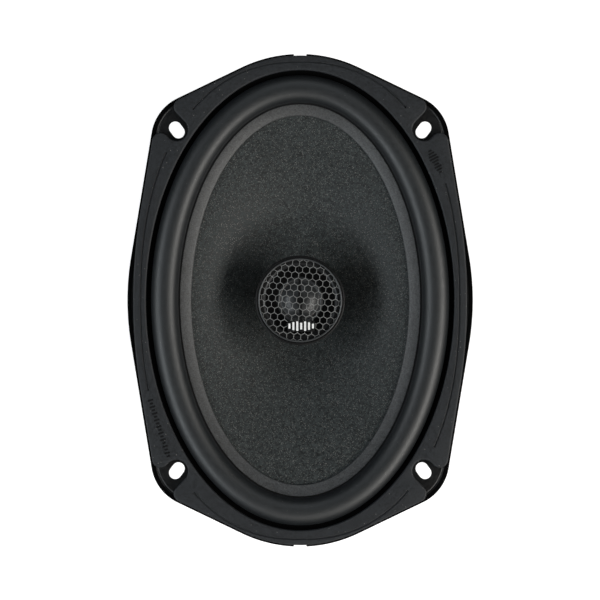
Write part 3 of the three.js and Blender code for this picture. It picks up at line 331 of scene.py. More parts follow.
def light_floor():
    """The floor looks white but throws no light on the dark speaker, and is clear from underneath."""
    tree = FLOOR.node_tree
    seen = node(tree, "ShaderNodeLightPath").outputs["Is Camera Ray"]
    underneath = node(tree, "ShaderNodeNewGeometry").outputs["Backfacing"]
    glow, clear = maths(tree, "MULTIPLY", seen, FLOOR_GLOW), maths(tree, "SUBTRACT", 1.0, underneath)
    inputs = {"Emission Color": (1.0, 1.0, 1.0, 1.0), "Emission Strength": glow, "Alpha": clear}
    feed(tree, tree.nodes["Principled BSDF"], inputs)


light_floor()


# --- Mesh helpers ------------------------------------------------------------------------------------
def as_object(name, data):
    made = bpy.data.objects.new(name, data)
    bpy.context.scene.collection.objects.link(made)
    return made


def finish_mesh(name, mesh, look, sharp=35.0, weld=True):
    """Welds, turns faces outwards, smooths all but the sharp edges and makes the object."""
    work = bmesh.new()
    work.from_mesh(mesh)
    if weld:
        bmesh.ops.remove_doubles(work, verts=work.verts, dist=WELD)
        bmesh.ops.dissolve_degenerate(work, edges=work.edges, dist=1e-7)
    bmesh.ops.recalc_face_normals(work, faces=work.faces)
    for face in work.faces:
        face.smooth = True
    limit = math.radians(sharp)
    for edge in work.edges:
        edge.smooth = len(edge.link_faces) == 2 and edge.calc_face_angle(0.0) < limit
    work.to_mesh(mesh)
    work.free()
    mesh.name = name
    mesh.materials.clear()
    mesh.materials.append(look)
    return as_object(name, mesh)


def from_data(name, points, faces, look, **options):
    mesh = bpy.data.meshes.new(name)
    mesh.from_pydata([tuple(c * MM for c in point) for point in points], [], faces)
    return finish_mesh(name, mesh, look, **options)


def rounded(points, steps=4, closed=True):
    """Rounds each corner (x, y, radius) of a line of points; a corner given as (x, y) stays sharp."""
    made = []
    count = len(points)
    for i, point in enumerate(points):
        here = Vector(point[:2])
        ends = not closed and i in (0, count - 1)
        if len(point) < 3 or not point[2] or ends:
            made.append((here.x, here.y))
            continue
        before = Vector(points[i - 1][:2]) - here
        after = Vector(points[(i + 1) % count][:2]) - here
        half = before.angle(after) / 2
        reach = min(point[2] / math.tan(half), before.length * 0.49, after.length * 0.49)
        start = here + before.normalized() * reach
        end = here + after.normalized() * reach
        for k in range(steps + 1):
            t = k / steps
            bow = start.lerp(here, t).lerp(here.lerp(end, t), t)
            made.append((bow.x, bow.y))
    return made


def skin(name, rings, look, closed=True, flip=False, **options):
    """Skins rings of equal count, the last back to the first."""
    count = len(rings[0])
    faces = []
    for i in range(len(rings)):
        here, there = i * count, (i + 1) % len(rings) * count
        for j in range(count if closed else count - 1):
            k = (j + 1) % count
            face = (here + j, there + j, there + k, here + k)
            faces.append(face[:1] + face[:0:-1] if flip else face)
    return from_data(name, [point for ring in rings for point in ring], faces, look, **options)


def lathe(name, profile, look, segments=128, stretch=None, steps=4, closed=True, **options):
    """Spins a section of (radius, height, corner radius) round Z. stretch(radius) lengthens it along Y."""
    section = [(r, r + (stretch(r) if stretch else 0.0), z) for r, z in rounded(profile, steps, closed)]
    rings = []
    for i in range(segments):
        c, s = math.cos(TURN * i / segments), math.sin(TURN * i / segments)
        rings.append([(r * c, longer * s, z) for r, longer, z in section])
    return skin(name, rings, look, closed, **options)


def prism(outline, bottom, top):
    """Points and faces of an upright prism, for cutters."""
    count = len(outline)
    points = [(x, y, bottom) for x, y in outline] + [(x, y, top) for x, y in outline]
    sides = [(j, (j + 1) % count, (j + 1) % count + count, j + count) for j in range(count)]
    return points, [tuple(reversed(range(count))), tuple(range(count, 2 * count)), *sides]


def joined(name, shapes, look):
    points, faces = [], []
    for shape_points, shape_faces in shapes:
        base = len(points)
        points += shape_points
        faces += [tuple(base + i for i in face) for face in shape_faces]
    return from_data(name, points, faces, look)


def discard(*objects):
    for obj in objects:
        bpy.data.objects.remove(obj)


def evaluated(obj, *others):
    """The object's finished mesh. The object is used up, and so are the others."""
    graph = bpy.context.evaluated_depsgraph_get()
    mesh = bpy.data.meshes.new_from_object(obj.evaluated_get(graph), depsgraph=graph)
    discard(obj, *others)
    return mesh


def carved(target, cutter, bevel=0.0, sharp=35.0):
    """Cuts cutter out of target and, if asked, breaks the new edges by a bevel in mm."""
    name, look = target.name, target.data.materials[0]
    cut = target.modifiers.new("cut", "BOOLEAN")
    cut.operation, cut.object, cut.solver = "DIFFERENCE", cutter, "EXACT"
    if bevel:
        edge = target.modifiers.new("edge", "BEVEL")
        edge.width, edge.segments, edge.limit_method = bevel * MM, 2, "ANGLE"
        edge.angle_limit, edge.use_clamp_overlap = math.radians(60), True
    return finish_mesh(name, evaluated(target, cutter), look, sharp=sharp)


def circle(radius, x=0.0, y=0.0, count=48):
    angles = [TURN * i / count for i in range(count)]
    return [(x + radius * math.cos(a), y + radius * math.sin(a)) for a in angles]


def box_outline(x0, x1, y0, y1, corner=0.0, steps=5):
    return rounded([(x0, y0, corner), (x1, y0, corner), (x1, y1, corner), (x0, y1, corner)], steps)


def curve_mesh(name, lines, closed, **settings):
    """The mesh of a bevelled curve along lines of points in metres."""
    curve = bpy.data.curves.new(name, "CURVE")
    for key, value in settings.items():
        setattr(curve, key, value)
    for line in lines:
        spline = curve.splines.new("POLY")
        spline.points.add(len(line) - 1)
        spline.use_cyclic_u = closed
        for point, place in zip(spline.points, line):
            point.co = (*place, 1)
    return evaluated(as_object(name, curve))


def plate(name, outlines, bottom, top, look, edge=0.2, steps=3, **options):
    """A flat plate with rounded edges: the first outline is its edge and the others are its holes."""
    loops = []
    for i, outline in enumerate(outlines):
        turn = sum(a[0] * b[1] - b[0] * a[1] for a, b in zip(outline, outline[1:] + outline[:1]))
        loop = outline if (turn > 0) == (i == 0) else outline[::-1]
        loops.append([(x * MM, y * MM, 0) for x, y in loop])
    mesh = curve_mesh(
        name, loops, True, dimensions="2D", fill_mode="BOTH", bevel_depth=edge * MM, bevel_resolution=steps,
        extrude=((top - bottom) / 2 - edge) * MM, offset=-edge * MM,
    )
    mesh.transform(Matrix.Translation((0, 0, (bottom + top) / 2 * MM)))
    return finish_mesh(name, mesh, look, **options)


def tube(name, points, radius, look, steps=4):
    """A round wire along a path."""
    line = [Vector(place) * MM for place in points]
    settings = {"bevel_depth": radius * MM, "bevel_resolution": steps, "use_fill_caps": True}
    return finish_mesh(name, curve_mesh(name, [line], False, dimensions="3D", **settings), look, sharp=50)


def smooth_path(points, per_span=10):
    """A centripetal Catmull-Rom line through the points."""
    p = [Vector(point) for point in points]
    p = [p[0] * 2 - p[1], *p, p[-1] * 2 - p[-2]]
    made = []
    for a, b, c, d in zip(p, p[1:], p[2:], p[3:]):
        t0 = 0.0
        t1 = t0 + max((b - a).length ** 0.5, 1e-4)
        t2 = t1 + max((c - b).length ** 0.5, 1e-4)
        t3 = t2 + max((d - c).length ** 0.5, 1e-4)
        for k in range(per_span):
            t = t1 + (t2 - t1) * k / per_span
            a1 = a * ((t1 - t) / (t1 - t0)) + b * ((t - t0) / (t1 - t0))
            a2 = b * ((t2 - t) / (t2 - t1)) + c * ((t - t1) / (t2 - t1))
            a3 = c * ((t3 - t) / (t3 - t2)) + d * ((t - t2) / (t3 - t2))
            b1 = a1 * ((t2 - t) / (t2 - t0)) + a2 * ((t - t0) / (t2 - t0))
            b2 = a2 * ((t3 - t) / (t3 - t1)) + a3 * ((t - t1) / (t3 - t1))
            made.append(b1 * ((t2 - t) / (t2 - t1)) + b2 * ((t - t1) / (t2 - t1)))
    made.append(p[-2])
    return made


# --- Flange outline ----------------------------------------------------------------------------------
def quarter_arcs(half_width, half_length, side_radius, end_radius, corner_radius):
    side = (Vector((half_width - side_radius, 0)), side_radius)
    end = (Vector((0, half_length - end_radius)), end_radius)
    side_reach = side[0].x * math.cos(SIDE_NORMAL) + side_radius - corner_radius
    end_reach = end[0].y * math.sin(END_NORMAL) + end_radius - corner_radius
    turn = math.sin(END_NORMAL - SIDE_NORMAL)
    x = (side_reach * math.sin(END_NORMAL) - end_reach * math.sin(SIDE_NORMAL)) / turn
    y = (end_reach * math.cos(SIDE_NORMAL) - side_reach * math.cos(END_NORMAL)) / turn
    return side, (Vector((x, y)), corner_radius), end


def arc(centre, radius, start, stop, steps):
    angles = [start + (stop - start) * i / steps for i in range(steps + 1)]
    return [(centre.x + radius * math.cos(a), centre.y + radius * math.sin(a)) for a in angles]


def four_quarters(quarter):
    loop = [*quarter, *[(-x, y) for x, y in reversed(quarter)]]
    loop += [*[(-x, -y) for x, y in quarter], *[(x, -y) for x, y in reversed(quarter)]]
    return [p for p, q in zip(loop, loop[1:] + loop[:1]) if math.dist(p, q) > 1e-3]


SIDE, CORNER, END = quarter_arcs(HALF_WIDTH, HALF_LENGTH, SIDE_RADIUS, END_RADIUS, CORNER_RADIUS)
SLOT = CORNER[0] + Vector((9.8, 4.85))
AROUND = 720
DIRECTIONS = [TURN * i / AROUND for i in range(AROUND)]


def flange_ring(inset, z):
    """The flange's outline, moved inwards, in the shared directions."""
    side, corner, end = [(centre, radius - inset) for centre, radius in (SIDE, CORNER, END)]
    quarter = [*arc(*side, 0, SIDE_NORMAL, 12), *arc(*corner, SIDE_NORMAL, END_NORMAL, 24)]
    loop = four_quarters([*quarter, *arc(*end, END_NORMAL, math.pi / 2, 16)])
    bearing = np.array([math.atan2(y, x) % TURN for x, y in loop])
    order = np.argsort(bearing)
    xs, ys = np.array(loop)[order].T
    bearing = bearing[order]
    made = []
    for angle in DIRECTIONS:
        k = int(np.searchsorted(bearing, angle)) % len(bearing)
        a, b = Vector((xs[k - 1], ys[k - 1])), Vector((xs[k], ys[k]))
        way = Vector((math.cos(angle), math.sin(angle)))
        across = (b - a).cross(way)
        reach = (b - a).cross(a) / across if abs(across) > 1e-9 else a.length
        made.append((way.x * abs(reach), way.y * abs(reach), z))
    return made


def oval_ring(r, z, longer):
    made = []
    for angle in DIRECTIONS:
        reach = 1 / math.hypot(math.cos(angle) / r, math.sin(angle) / (r + longer))
        made.append((reach * math.cos(angle), reach * math.sin(angle), z))
    return made


def share_of(r, start, stop):
    """How far r is from start to stop, from 0 to 1."""
    return min(max((r - start) / (stop - start), 0.0), 1.0)


WINDOWS = 8
WINDOW_HALF_ANGLE = math.radians(18)
PRESS_DEPTH, PRESS_HALF_ANGLE = 0.9, 2.6


def strut_press(x, y, r, longer):
    """How far the pressed channel along each strut sinks, from 0 to 1."""
    place = math.atan2(y / (r + longer), x / r)
    off = abs((place / (TURN / WINDOWS) - 0.5 + 0.5) % 1.0 - 0.5) * math.degrees(TURN / WINDOWS)
    share = share_of(r, LANDING_OUTER, OPENING)
    along = min(max(min(share - 0.04, 0.93 - share) / 0.12, 0.0), 1.0)
    return max(0.0, 1 - (off / PRESS_HALF_ANGLE) ** 2) ** 0.8 * along * along * (3 - 2 * along)


def dense(section, count=5):
    """Splits the long slope so that the pressed channels have rings to bend."""
    made = []
    for a, b in zip(section, section[1:]):
        made.append(a)
        if math.dist(a[:2], b[:2]) > 8 and min(a[0], b[0]) >= LANDING_OUTER - 1:
            made += [tuple(p + (q - p) * k / count for p, q in zip(a[:2], b[:2])) for k in range(1, count)]
    return [*made, section[-1]]


def bowl_rings(section):
    made = []
    for r, z in rounded(dense(section), 6, closed=False):
        longer = STRETCH * share_of(r, LANDING_OUTER, OPENING)
        ring = oval_ring(r, z, longer)
        if LANDING_OUTER + 1 < r < OPENING:
            ring = [(x, y, z - PRESS_DEPTH * strut_press(x, y, r, longer)) for x, y, z in ring]
        made.append(ring)
    return made


def end_notches():
    """Cutters for the notch in each end of the flange."""
    made = []
    for end in (1, -1):
        ys = sorted((end * (HALF_LENGTH - NOTCH_DEPTH), end * (HALF_LENGTH + 2)))
        made.append(prism(box_outline(-NOTCH_HALF, NOTCH_HALF, *ys, corner=0.6, steps=4), 68, 78))
    return made


def slot_outline(x, y, angle):
    width, length = SLOT_WIDTH / 2, (SLOT_LENGTH - SLOT_WIDTH) / 2
    loop = arc(Vector((length, 0)), width, -math.pi / 2, math.pi / 2, 12)
    loop += arc(Vector((-length, 0)), width, math.pi / 2, 1.5 * math.pi, 12)
    c, s = math.cos(angle), math.sin(angle)
    return [(x + a * c - b * s, y + a * s + b * c) for a, b in loop]


def window_outline(place, low, high):
    """A rounded window in the bowl, low and high as shares of its slope."""
    made = []
    for k in range(64):
        turn = TURN * k / 64
        cx, cy = [math.copysign(abs(c) ** 0.36, c) for c in (math.cos(turn), math.sin(turn))]
        angle = place + WINDOW_HALF_ANGLE * cx
        share = low + (high - low) * (1 + cy) / 2
        r = LANDING_OUTER + (OPENING - LANDING_OUTER) * share
        made.append((r * math.cos(angle), (r + STRETCH * share) * math.sin(angle)))
    return made[::-1]


def basket():
    wall_top = FLANGE_TOP - 0.9
    middle = (LANDING_OUTER + OPENING) / 2
    slope_z = (LANDING_TOP + WALL_FOOT) / 2
    ring_bottom, ring_top = 27.5, 29.0
    inside = [
        (24.0, ring_top, 0.3), (39.5, ring_top, 2.0), (LANDING_INNER - 0.75, LANDING_TOP, 1.2),
        (LANDING_OUTER, LANDING_TOP, 2.0), (middle, slope_z + 0.75, 30), (OPENING, WALL_FOOT, 3.0),
        (OPENING, wall_top),
    ]
    outside = [
        (OPENING + SHEET, FLANGE_TOP - SHEET - 1.0), (OPENING + SHEET, WALL_FOOT - 0.75, 4.0),
        (middle + SHEET, slope_z - 0.75, 30), (LANDING_OUTER + 0.75, LANDING_TOP - SHEET, 3.0),
        (LANDING_INNER + 0.75, LANDING_TOP - SHEET, 2.0), (41.0, ring_bottom, 2.0), (24.0, ring_bottom, 0.3),
    ]
    rings = bowl_rings(inside)
    lip = [(OPENING, wall_top), (OPENING, FLANGE_TOP, 0.8), (OPENING + 2, FLANGE_TOP)]
    for r, z in rounded(lip, 5, False)[1:]:
        rings.append(oval_ring(r, z, STRETCH))
    for inset, drop in ((3.3, 0), (3.0, 0.22), (2.75, 0.25), (2.5, 0.2), (2.3, 0)):
        rings.append(flange_ring(inset, FLANGE_TOP - drop))
    for k in range(1, 8):
        turn = math.pi / 2 * k / 8
        rings.append(flange_ring(0.7 * (1 - math.sin(turn)), FLANGE_TOP - 0.7 * (1 - math.cos(turn))))
    below = ((0, 72.7), (0, 72.0), (0.12, 71.85), (0.4, 71.8), (1.2, 71.8), (1.45, 71.95), (1.5, 72.2))
    rings += [flange_ring(inset, z) for inset, z in below]
    for k in range(1, 5):
        turn = math.pi / 2 * k / 4
        rings.append(flange_ring(1.5 + 1.2 * (1 - math.cos(turn)), 72.3 + 1.2 * math.sin(turn)))
    for r, z in ((OPENING + SHEET + 1.0, 73.5), (OPENING + SHEET + 0.3, 73.2)):
        rings.append(oval_ring(r, z, STRETCH))
    shape = skin("basket_shell", rings + bowl_rings(outside), PAINT, flip=True)

    cutters = []
    for i in range(WINDOWS):
        # The window behind the terminals is lower.
        outline = window_outline(i * TURN / WINDOWS, *((0.09, 0.59) if i == 0 else (0.18, 0.86)))
        cutters.append(prism(outline, LANDING_TOP + 0.4, FLANGE_TOP - 1.6))
    for x, y in ((1, 1), (-1, 1), (-1, -1), (1, -1)):
        cutters.append(prism(slot_outline(SLOT.x * x, SLOT.y * y, SLOT_ANGLE * x * y), 70, 78))
    cutters += end_notches()
    for i in range(4):
        place = TURN * (i + 0.5) / 4
        cutters.append(prism(circle(2.3, 33 * math.cos(place), 33 * math.sin(place), 24), 26, 31))
    return carved(shape, joined("basket_cutters", cutters, PAINT), bevel=0.18)


def keep(obj, body, *replaced, slot):
    """obj rides on a body and stands for the CAD nodes it replaces."""
    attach(obj, body)
    if replaced:
        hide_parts(*replaced)


def bend(obj, replaced):
    """Bakes obj's placement into its mesh and hides the CAD node that it replaces."""
    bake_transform(obj)
    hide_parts(replaced)


keep(basket(), "frame", "basket", slot="painted_steel")


def painted_shade_band():
    """The flange's cut edge and a little of its top are banded dull black: painted shade for the flange's
    dark outline.
    """
    section = [(2.0, FLANGE_TOP - 0.1), (2.0, FLANGE_TOP + 0.08, 0.05), (-0.08, FLANGE_TOP + 0.08, 0.75)]
    section += [(-0.08, FLANGE_TOP - 0.9, 0.05), (0.25, FLANGE_TOP - 1.0), (0.9, FLANGE_TOP - 0.35)]
    rings = [flange_ring(inset, z) for inset, z in rounded(section, 5)]
    shape = skin("flange_painted_shade_band", rings[::-1], PAINTED_SHADE_BLACK, flip=True)
    return carved(shape, joined("edge_notches", end_notches(), PAINTED_SHADE_BLACK))


keep(painted_shade_band(), "frame", slot="painted_steel")
EAR_HOLES = [circle(1.8, 61, y, 24) for y in (24, -24)]
ear = [box_outline(47.9, 65, -28, 28, corner=5), box_outline(49.5, 57.5, -21.5, -1.5, corner=2), *EAR_HOLES]
ear = plate("terminal_ear", ear, LANDING_TOP - SHEET, LANDING_TOP, PAINT, edge=0.25)
keep(ear, "frame", slot="painted_steel")


# --- Trim ring ---------------------------------------------------------------------------------------
def trim_outline():
    side, _, end = quarter_arcs(HALF_WIDTH - 2.8, HALF_LENGTH - 0.95, 259.0, END_RADIUS - 0.95, CORNER_RADIUS)
    pad = 4.0
    screw = (SLOT, 5.4)
    side_reach = side[0].x * math.cos(SIDE_NORMAL) + side[1] - pad
    end_reach = end[0].y * math.sin(END_NORMAL) + end[1] - pad
    low = SLOT.y - 1.6 - pad
    side_pad = (Vector(((side_reach - low * math.sin(SIDE_NORMAL)) / math.cos(SIDE_NORMAL), low)), pad)
    high = SLOT.x + 1.3 - pad
    end_pad = (Vector((high, (end_reach - high * math.cos(END_NORMAL)) / math.sin(END_NORMAL))), pad)

    def bearing(a, b):
        return math.atan2(b[0].y - a[0].y, b[0].x - a[0].x)

    def crossing(a, b):
        return math.acos((a[1] + b[1]) / (a[0] - b[0]).length)

    leave = bearing(side_pad, screw) - crossing(side_pad, screw)
    rejoin = bearing(screw, end_pad) + crossing(screw, end_pad)
    quarter = [*arc(*side, 0, SIDE_NORMAL, 24), *arc(*side_pad, SIDE_NORMAL, leave, 16)]
    quarter += [*arc(*screw, leave + math.pi, rejoin, 28), *arc(*end_pad, rejoin - math.pi, END_NORMAL, 16)]
    return four_quarters([*quarter, *arc(*end, END_NORMAL, math.pi / 2, 24)])


def groove_path(start, stop):
    """A stretch of the engraved line that follows the ring, between two bearings in degrees."""
    half_width, half_length, power = 75.5, 113.1, 2.3
    made = []
    for k in range(121):
        way = math.radians(start + (stop - start) * k / 120)
        c, s = math.cos(way), math.sin(way)
        reach = (abs(c / half_width) ** power + abs(s / half_length) ** power) ** (-1 / power)
        made.append((reach * c, reach * s, TRIM_TOP - 0.12))
    return made


GROOVES = (
    ((50.0, 91.0), (-50.9, 90.5)),
    ((-64.0, 70.9), (-72.2, -42.9)),
    ((-50.4, -90.9), (51.4, -90.6)),
    ((65.6, -71.8), (68.7, 55.3)),
)


def trim_ring():
    bore = OPENING + 1.9
    hole = [(bore * math.cos(a), (bore + STRETCH) * math.sin(a)) for a in DIRECTIONS[::3]]
    outlines = [trim_outline(), hole]
    shape = plate("trim_ring_moulding", outlines, FLANGE_TOP + 0.1, TRIM_TOP, TRIM, edge=0.7, steps=4)
    for ends in GROOVES:
        start, stop = [math.degrees(math.atan2(y, x)) % 360 for x, y in ends]
        path = groove_path(start, stop if stop > start else stop + 360)
        shape = carved(shape, tube("groove_cutter", path, 0.6, TRIM, steps=2), sharp=30)
    return shape


keep(trim_ring(), "frame", "trim_ring", slot="trim_plastic")


# --- Surround and cone -------------------------------------------------------------------------------
def oval(name, section, look):
    """A section of the roll, spun along its oval."""
    return lathe(name, section, look, segments=320, stretch=lambda r: STRETCH, sharp=60)


def roll_section(outer, inner, height, count):
    middle = (outer + inner) / 2
    angles = [math.pi * i / count for i in range(count + 1)]
    return [(middle + (outer - inner) / 2 * math.cos(a), ROLL_FOOT + height * math.sin(a)) for a in angles]


def radial_weights(obj, longer):
    """Finds the oval through each vertex by halving; nothing is kept from it."""
    for vertex in obj.data.vertices:
        x, y = vertex.co.x / MM, vertex.co.y / MM
        low, high = 1.0, 120.0
        for _ in range(40):
            guess = (low + high) / 2
            if math.hypot(x / guess, y / (guess + longer)) > 1:
                low = guess
            else:
                high = guess


ROLL_END = ROLL_INNER + 0.9
over = roll_section(ROLL_OUTER, ROLL_END, ROLL_HEIGHT, 40)
under = roll_section(ROLL_OUTER - RUBBER, ROLL_END + RUBBER, ROLL_HEIGHT - RUBBER, 24)
section = [
    (LIP_EDGE, ROLL_FOOT - 1.5 - RUBBER, 0.15), (ROLL_END, ROLL_FOOT - RUBBER), *under[-2:0:-1],
    (ROLL_OUTER, ROLL_FOOT - RUBBER), (OPENING + 3.8, ROLL_FOOT - RUBBER, 0.2),
    (OPENING + 3.8, ROLL_FOOT, 0.2), *over[:-2], (ROLL_END + 0.1, ROLL_FOOT + 0.5, 0.4),
    (ROLL_END - 0.4, ROLL_FOOT - 0.1, 0.4), (ROLL_INNER - 0.3, ROLL_FOOT - 0.15, 0.3),
    (LIP_EDGE, ROLL_FOOT - 1.5, 0.3),
]
surround = oval("surround_roll", section, ROLL)
bend(surround, "surround")
radial_weights(surround, STRETCH)

# A matt black ring between the foot of the roll and the trim ring: painted shade in the deep gap between
# them.
ring_profile = [(ROLL_OUTER - 0.5, ROLL_FOOT - 0.1), (OPENING + 2.1, ROLL_FOOT - 0.1), (OPENING + 2.1, 76.9, 0.2)]
ring_profile += [(ROLL_OUTER + 0.9, 76.0, 0.5), (ROLL_OUTER + 0.25, 76.05, 0.2)]
keep(oval("roll_gap_painted_shade", ring_profile, PAINTED_SHADE_BLACK), "frame", slot="rubber")


# The band where the cone's edge is moulded into the roll's lip is grainier than the roll.
def lip_top(r):
    return ROLL_FOOT - 1.5 * (ROLL_INNER - r) / (ROLL_INNER - LIP_EDGE)


# A black ring over the roll's inner foot: painted shade in the valley between the roll and the lip.
valley_shade = [
    (ROLL_INNER - 0.4, ROLL_FOOT - 0.3), (ROLL_END + 0.35, ROLL_FOOT - 0.3),
    (ROLL_END + 0.35, ROLL_FOOT + 0.75, 0.2), (ROLL_END - 0.1, ROLL_FOOT + 0.05, 0.3),
    (ROLL_INNER - 0.4, ROLL_FOOT - 0.02),
]
keep(oval("lip_valley_painted_shade", valley_shade, MOULDED), "cone", slot="rubber")
band = [(r, lip_top(r) + lift, 0.1) for r, lift in ((51.95, 0.0), (57.05, 0.0), (57.05, 0.34), (51.95, 0.22))]
keep(oval("lip_band", band, LIP), "cone", slot="rubber")


def cone_height(share):
    return NECK_TOP + (CONE_BREAK_TOP - NECK_TOP) * (0.45 * share + 0.55 * (1 - (1 - share) ** 2))


def cone_stretch(r):
    return STRETCH * share_of(r, NECK_RADIUS, LIP_EDGE)


front = [(NECK_RADIUS + (LIP_EDGE - NECK_RADIUS) * k / 60, cone_height(k / 60)) for k in range(61)]
front.append((57.0, CONE_RIM_TOP))
sheet = [*[(r, z - 0.8) for r, z in front], *front[::-1]]
cone = lathe("cone_body", sheet, CONE, segments=320, stretch=cone_stretch, sharp=50)
keep(cone, "cone", "cone", slot="cone_plastic")


# --- Geometry rules ----------------------------------------------------------------------------------
WHOLE = "NodeSocketInt"
GEOMETRY = ("NodeSocketGeometry", None)


class Rule(Group):
    """A Geometry Nodes tree that ends in real geometry with its material."""

    def __init__(self, name, **inputs):
        inputs["Material"] = ("NodeSocketMaterial", None)
        super().__init__("GeometryNodeTree", name, inputs, {"Geometry": "NodeSocketGeometry"})

    def geo(self, kind, inputs=None, **settings):
        return self.add("GeometryNode" + kind, inputs, **settings)

    def gathered(self, kind, socket, *parts, **settings):
        """One node that takes several geometries in one socket."""
        made = node(self.tree, "GeometryNode" + kind, **settings)
        for part in parts:
            self.tree.links.new(part, made.inputs[socket])
        return made.outputs[0]

    def thickened(self, sheet):
        """Turns an open sheet into a closed one."""
        settings = {"Mesh": sheet, "Offset Scale": self.given["Thickness"], "Individual": False}
        grown, flipped = self.geo("ExtrudeMesh", settings), self.geo("FlipFaces", {0: sheet})
        both = self.gathered("JoinGeometry", 0, grown, flipped)
        return self.geo("MergeByDistance", {"Geometry": both, "Distance": WELD})

    def ended(self, geometry):
        coated = {"Geometry": self.geo("RealizeInstances", {0: geometry}), "Material": self.given["Material"]}
        return self.give(Geometry=self.geo("SetMaterial", coated))


def rule_coil():
    """Close-wound turns of wire round Z."""
    rule = Rule("coil_turns", Radius=0.0166, Wire=0.0003, Bottom=0.0186, Turns=(WHOLE, 38))
    given = rule.given
    half = rule.sum("MULTIPLY", given["Wire"], 0.5)
    start, rise = rule.join(z=rule.sum("ADD", given["Bottom"], half)), rule.join(z=given["Wire"])
    line = rule.geo("MeshLine", {"Count": given["Turns"], "Start Location": start, "Offset": rise})
    ring = rule.geo("CurvePrimitiveCircle", {"Resolution": 96, "Radius": given["Radius"]})
    turns = rule.geo("InstanceOnPoints", {"Points": line, "Instance": ring})
    turns = rule.geo("RealizeInstances", {0: turns})
    section = rule.geo("CurvePrimitiveCircle", {"Resolution": 8, "Radius": half})
    return rule.ended(rule.geo("CurveToMesh", {"Curve": turns, "Profile Curve": section}))


def rule_ring():
    """Copies of the object's own mesh spaced evenly round Z."""
    rule = Rule("ring_of_copies", Geometry=GEOMETRY, Radius=0.033, Count=(WHOLE, 4), Start=0.0)
    ring = rule.geo("MeshCircle", {"Vertices": rule.given["Count"], "Radius": rule.given["Radius"]})
    turned = rule.geo("Transform", {"Geometry": ring, "Rotation": rule.join(z=rule.given["Start"])})
    return rule.ended(rule.geo("InstanceOnPoints", {"Points": turned, "Instance": rule.given["Geometry"]}))


def rule_hex_sheet():
    """A round sheet of hexagonal holes, slightly domed."""
    sizes = {"Pitch": 0.00334, "Bar": 0.0005, "Radius": 0.019, "Thickness": 0.0005}
    rule = Rule("hex_sheet", **sizes, Turn=math.radians(-4.6), Bulge=0.0006)
    given, rows = rule.given, 17
    span = rule.sum("MULTIPLY", given["Pitch"], rows - 1.0)
    depth = rule.sum("MULTIPLY", span, math.sin(math.pi / 3))
    grid = rule.geo("MeshGrid", {"Size X": span, "Size Y": depth, "Vertices X": rows, "Vertices Y": rows})
    odd = rule.sum("MODULO", rule.sum("MODULO", rule.geo("InputIndex"), float(rows)), 2.0)
    shift = rule.join(rule.sum("MULTIPLY", odd, rule.sum("MULTIPLY", given["Pitch"], 0.5)))
    points = rule.geo("SetPosition", {"Geometry": grid, "Offset": shift})
    radius = rule.sum("MULTIPLY", given["Pitch"], 1 / math.sqrt(3))
    cell = rule.geo("MeshCircle", {"Vertices": 6, "Radius": radius}, fill_type="NGON")
    cell = rule.geo("Transform", {"Geometry": cell, "Rotation": (0, 0, math.pi / 6)})
    cells = rule.geo("InstanceOnPoints", {"Points": points, "Instance": cell})
    cells = {"Geometry": rule.geo("RealizeInstances", {0: cells}), "Distance": 2e-5}
    cells = rule.geo("MergeByDistance", cells)
    inner = rule.all("GeometryNodeExtrudeMesh", {"Mesh": cells, "Offset Scale": 0.0, "Individual": True})
    share = rule.sum("SUBTRACT", 1.0, rule.sum("DIVIDE", given["Bar"], given["Pitch"]))
    shrunk = rule.geo("ScaleElements", {"Geometry": inner[0], "Selection": inner["Top"], "Scale": share})
    bars = rule.geo("DeleteGeometry", {"Geometry": shrunk, "Selection": inner["Top"]}, domain="FACE")
    depth = rule.sum("MULTIPLY", given["Thickness"], 6.0)
    disc = rule.geo("MeshCylinder", {"Vertices": 96, "Radius": given["Radius"], "Depth": depth})
    sheet = rule.thickened(bars)
    trimmed = rule.gathered("MeshBoolean", "Mesh 2", sheet, disc, operation="INTERSECT", solver="EXACT")
    turned = rule.geo("Transform", {"Geometry": trimmed, "Rotation": rule.join(z=given["Turn"])})
    reach = rule.sum("DIVIDE", rule.reach(rule.split(rule.geo("InputPosition"))), given["Radius"])
    sink = rule.sum("MULTIPLY", rule.sum("POWER", reach, 2.0), given["Bulge"])
    offset = rule.join(z=rule.sum("MULTIPLY", sink, -1.0))
    return rule.ended(rule.geo("SetPosition", {"Geometry": turned, "Offset": offset}))


def rule_waved_disc():
    """A ring of cloth with even concentric waves between two flat rims."""
    waves = {"Wave": 0.0011, "Waves": 4.0, "Thickness": 0.0005}
    rule = Rule("waved_disc", Inner=0.0164, Outer=0.048, Level=0.0402, **waves)
    given = rule.given
    grid = rule.geo("MeshGrid", {"Size X": 1.0, "Size Y": 1.0, "Vertices X": 193, "Vertices Y": 97})
    xyz = rule.split(rule.geo("InputPosition"))
    angle = rule.sum("MULTIPLY", xyz[0], TURN)
    along = rule.sum("ADD", xyz[1], 0.5)
    width = rule.sum("SUBTRACT", given["Outer"], given["Inner"])
    radius = rule.sum("ADD", given["Inner"], rule.sum("MULTIPLY", along, width))
    waved = rule.add("ShaderNodeMapRange", {0: along, 1: 0.06, 2: 0.8, 3: 0.0, 4: 1.0})
    phase = rule.sum("MULTIPLY", rule.sum("MULTIPLY", waved, TURN), given["Waves"])
    lift = rule.sum("SUBTRACT", 1.0, rule.sum("COSINE", phase))
    height = rule.sum("ADD", given["Level"], rule.sum("MULTIPLY", lift, given["Wave"]))
    x, y = [rule.sum("MULTIPLY", radius, rule.sum(wave, angle)) for wave in ("COSINE", "SINE")]
    shaped = rule.geo("SetPosition", {"Geometry": grid, "Position": rule.join(x, y, height)})
    return rule.ended(rule.thickened(rule.geo("MergeByDistance", {"Geometry": shaped, "Distance": WELD})))


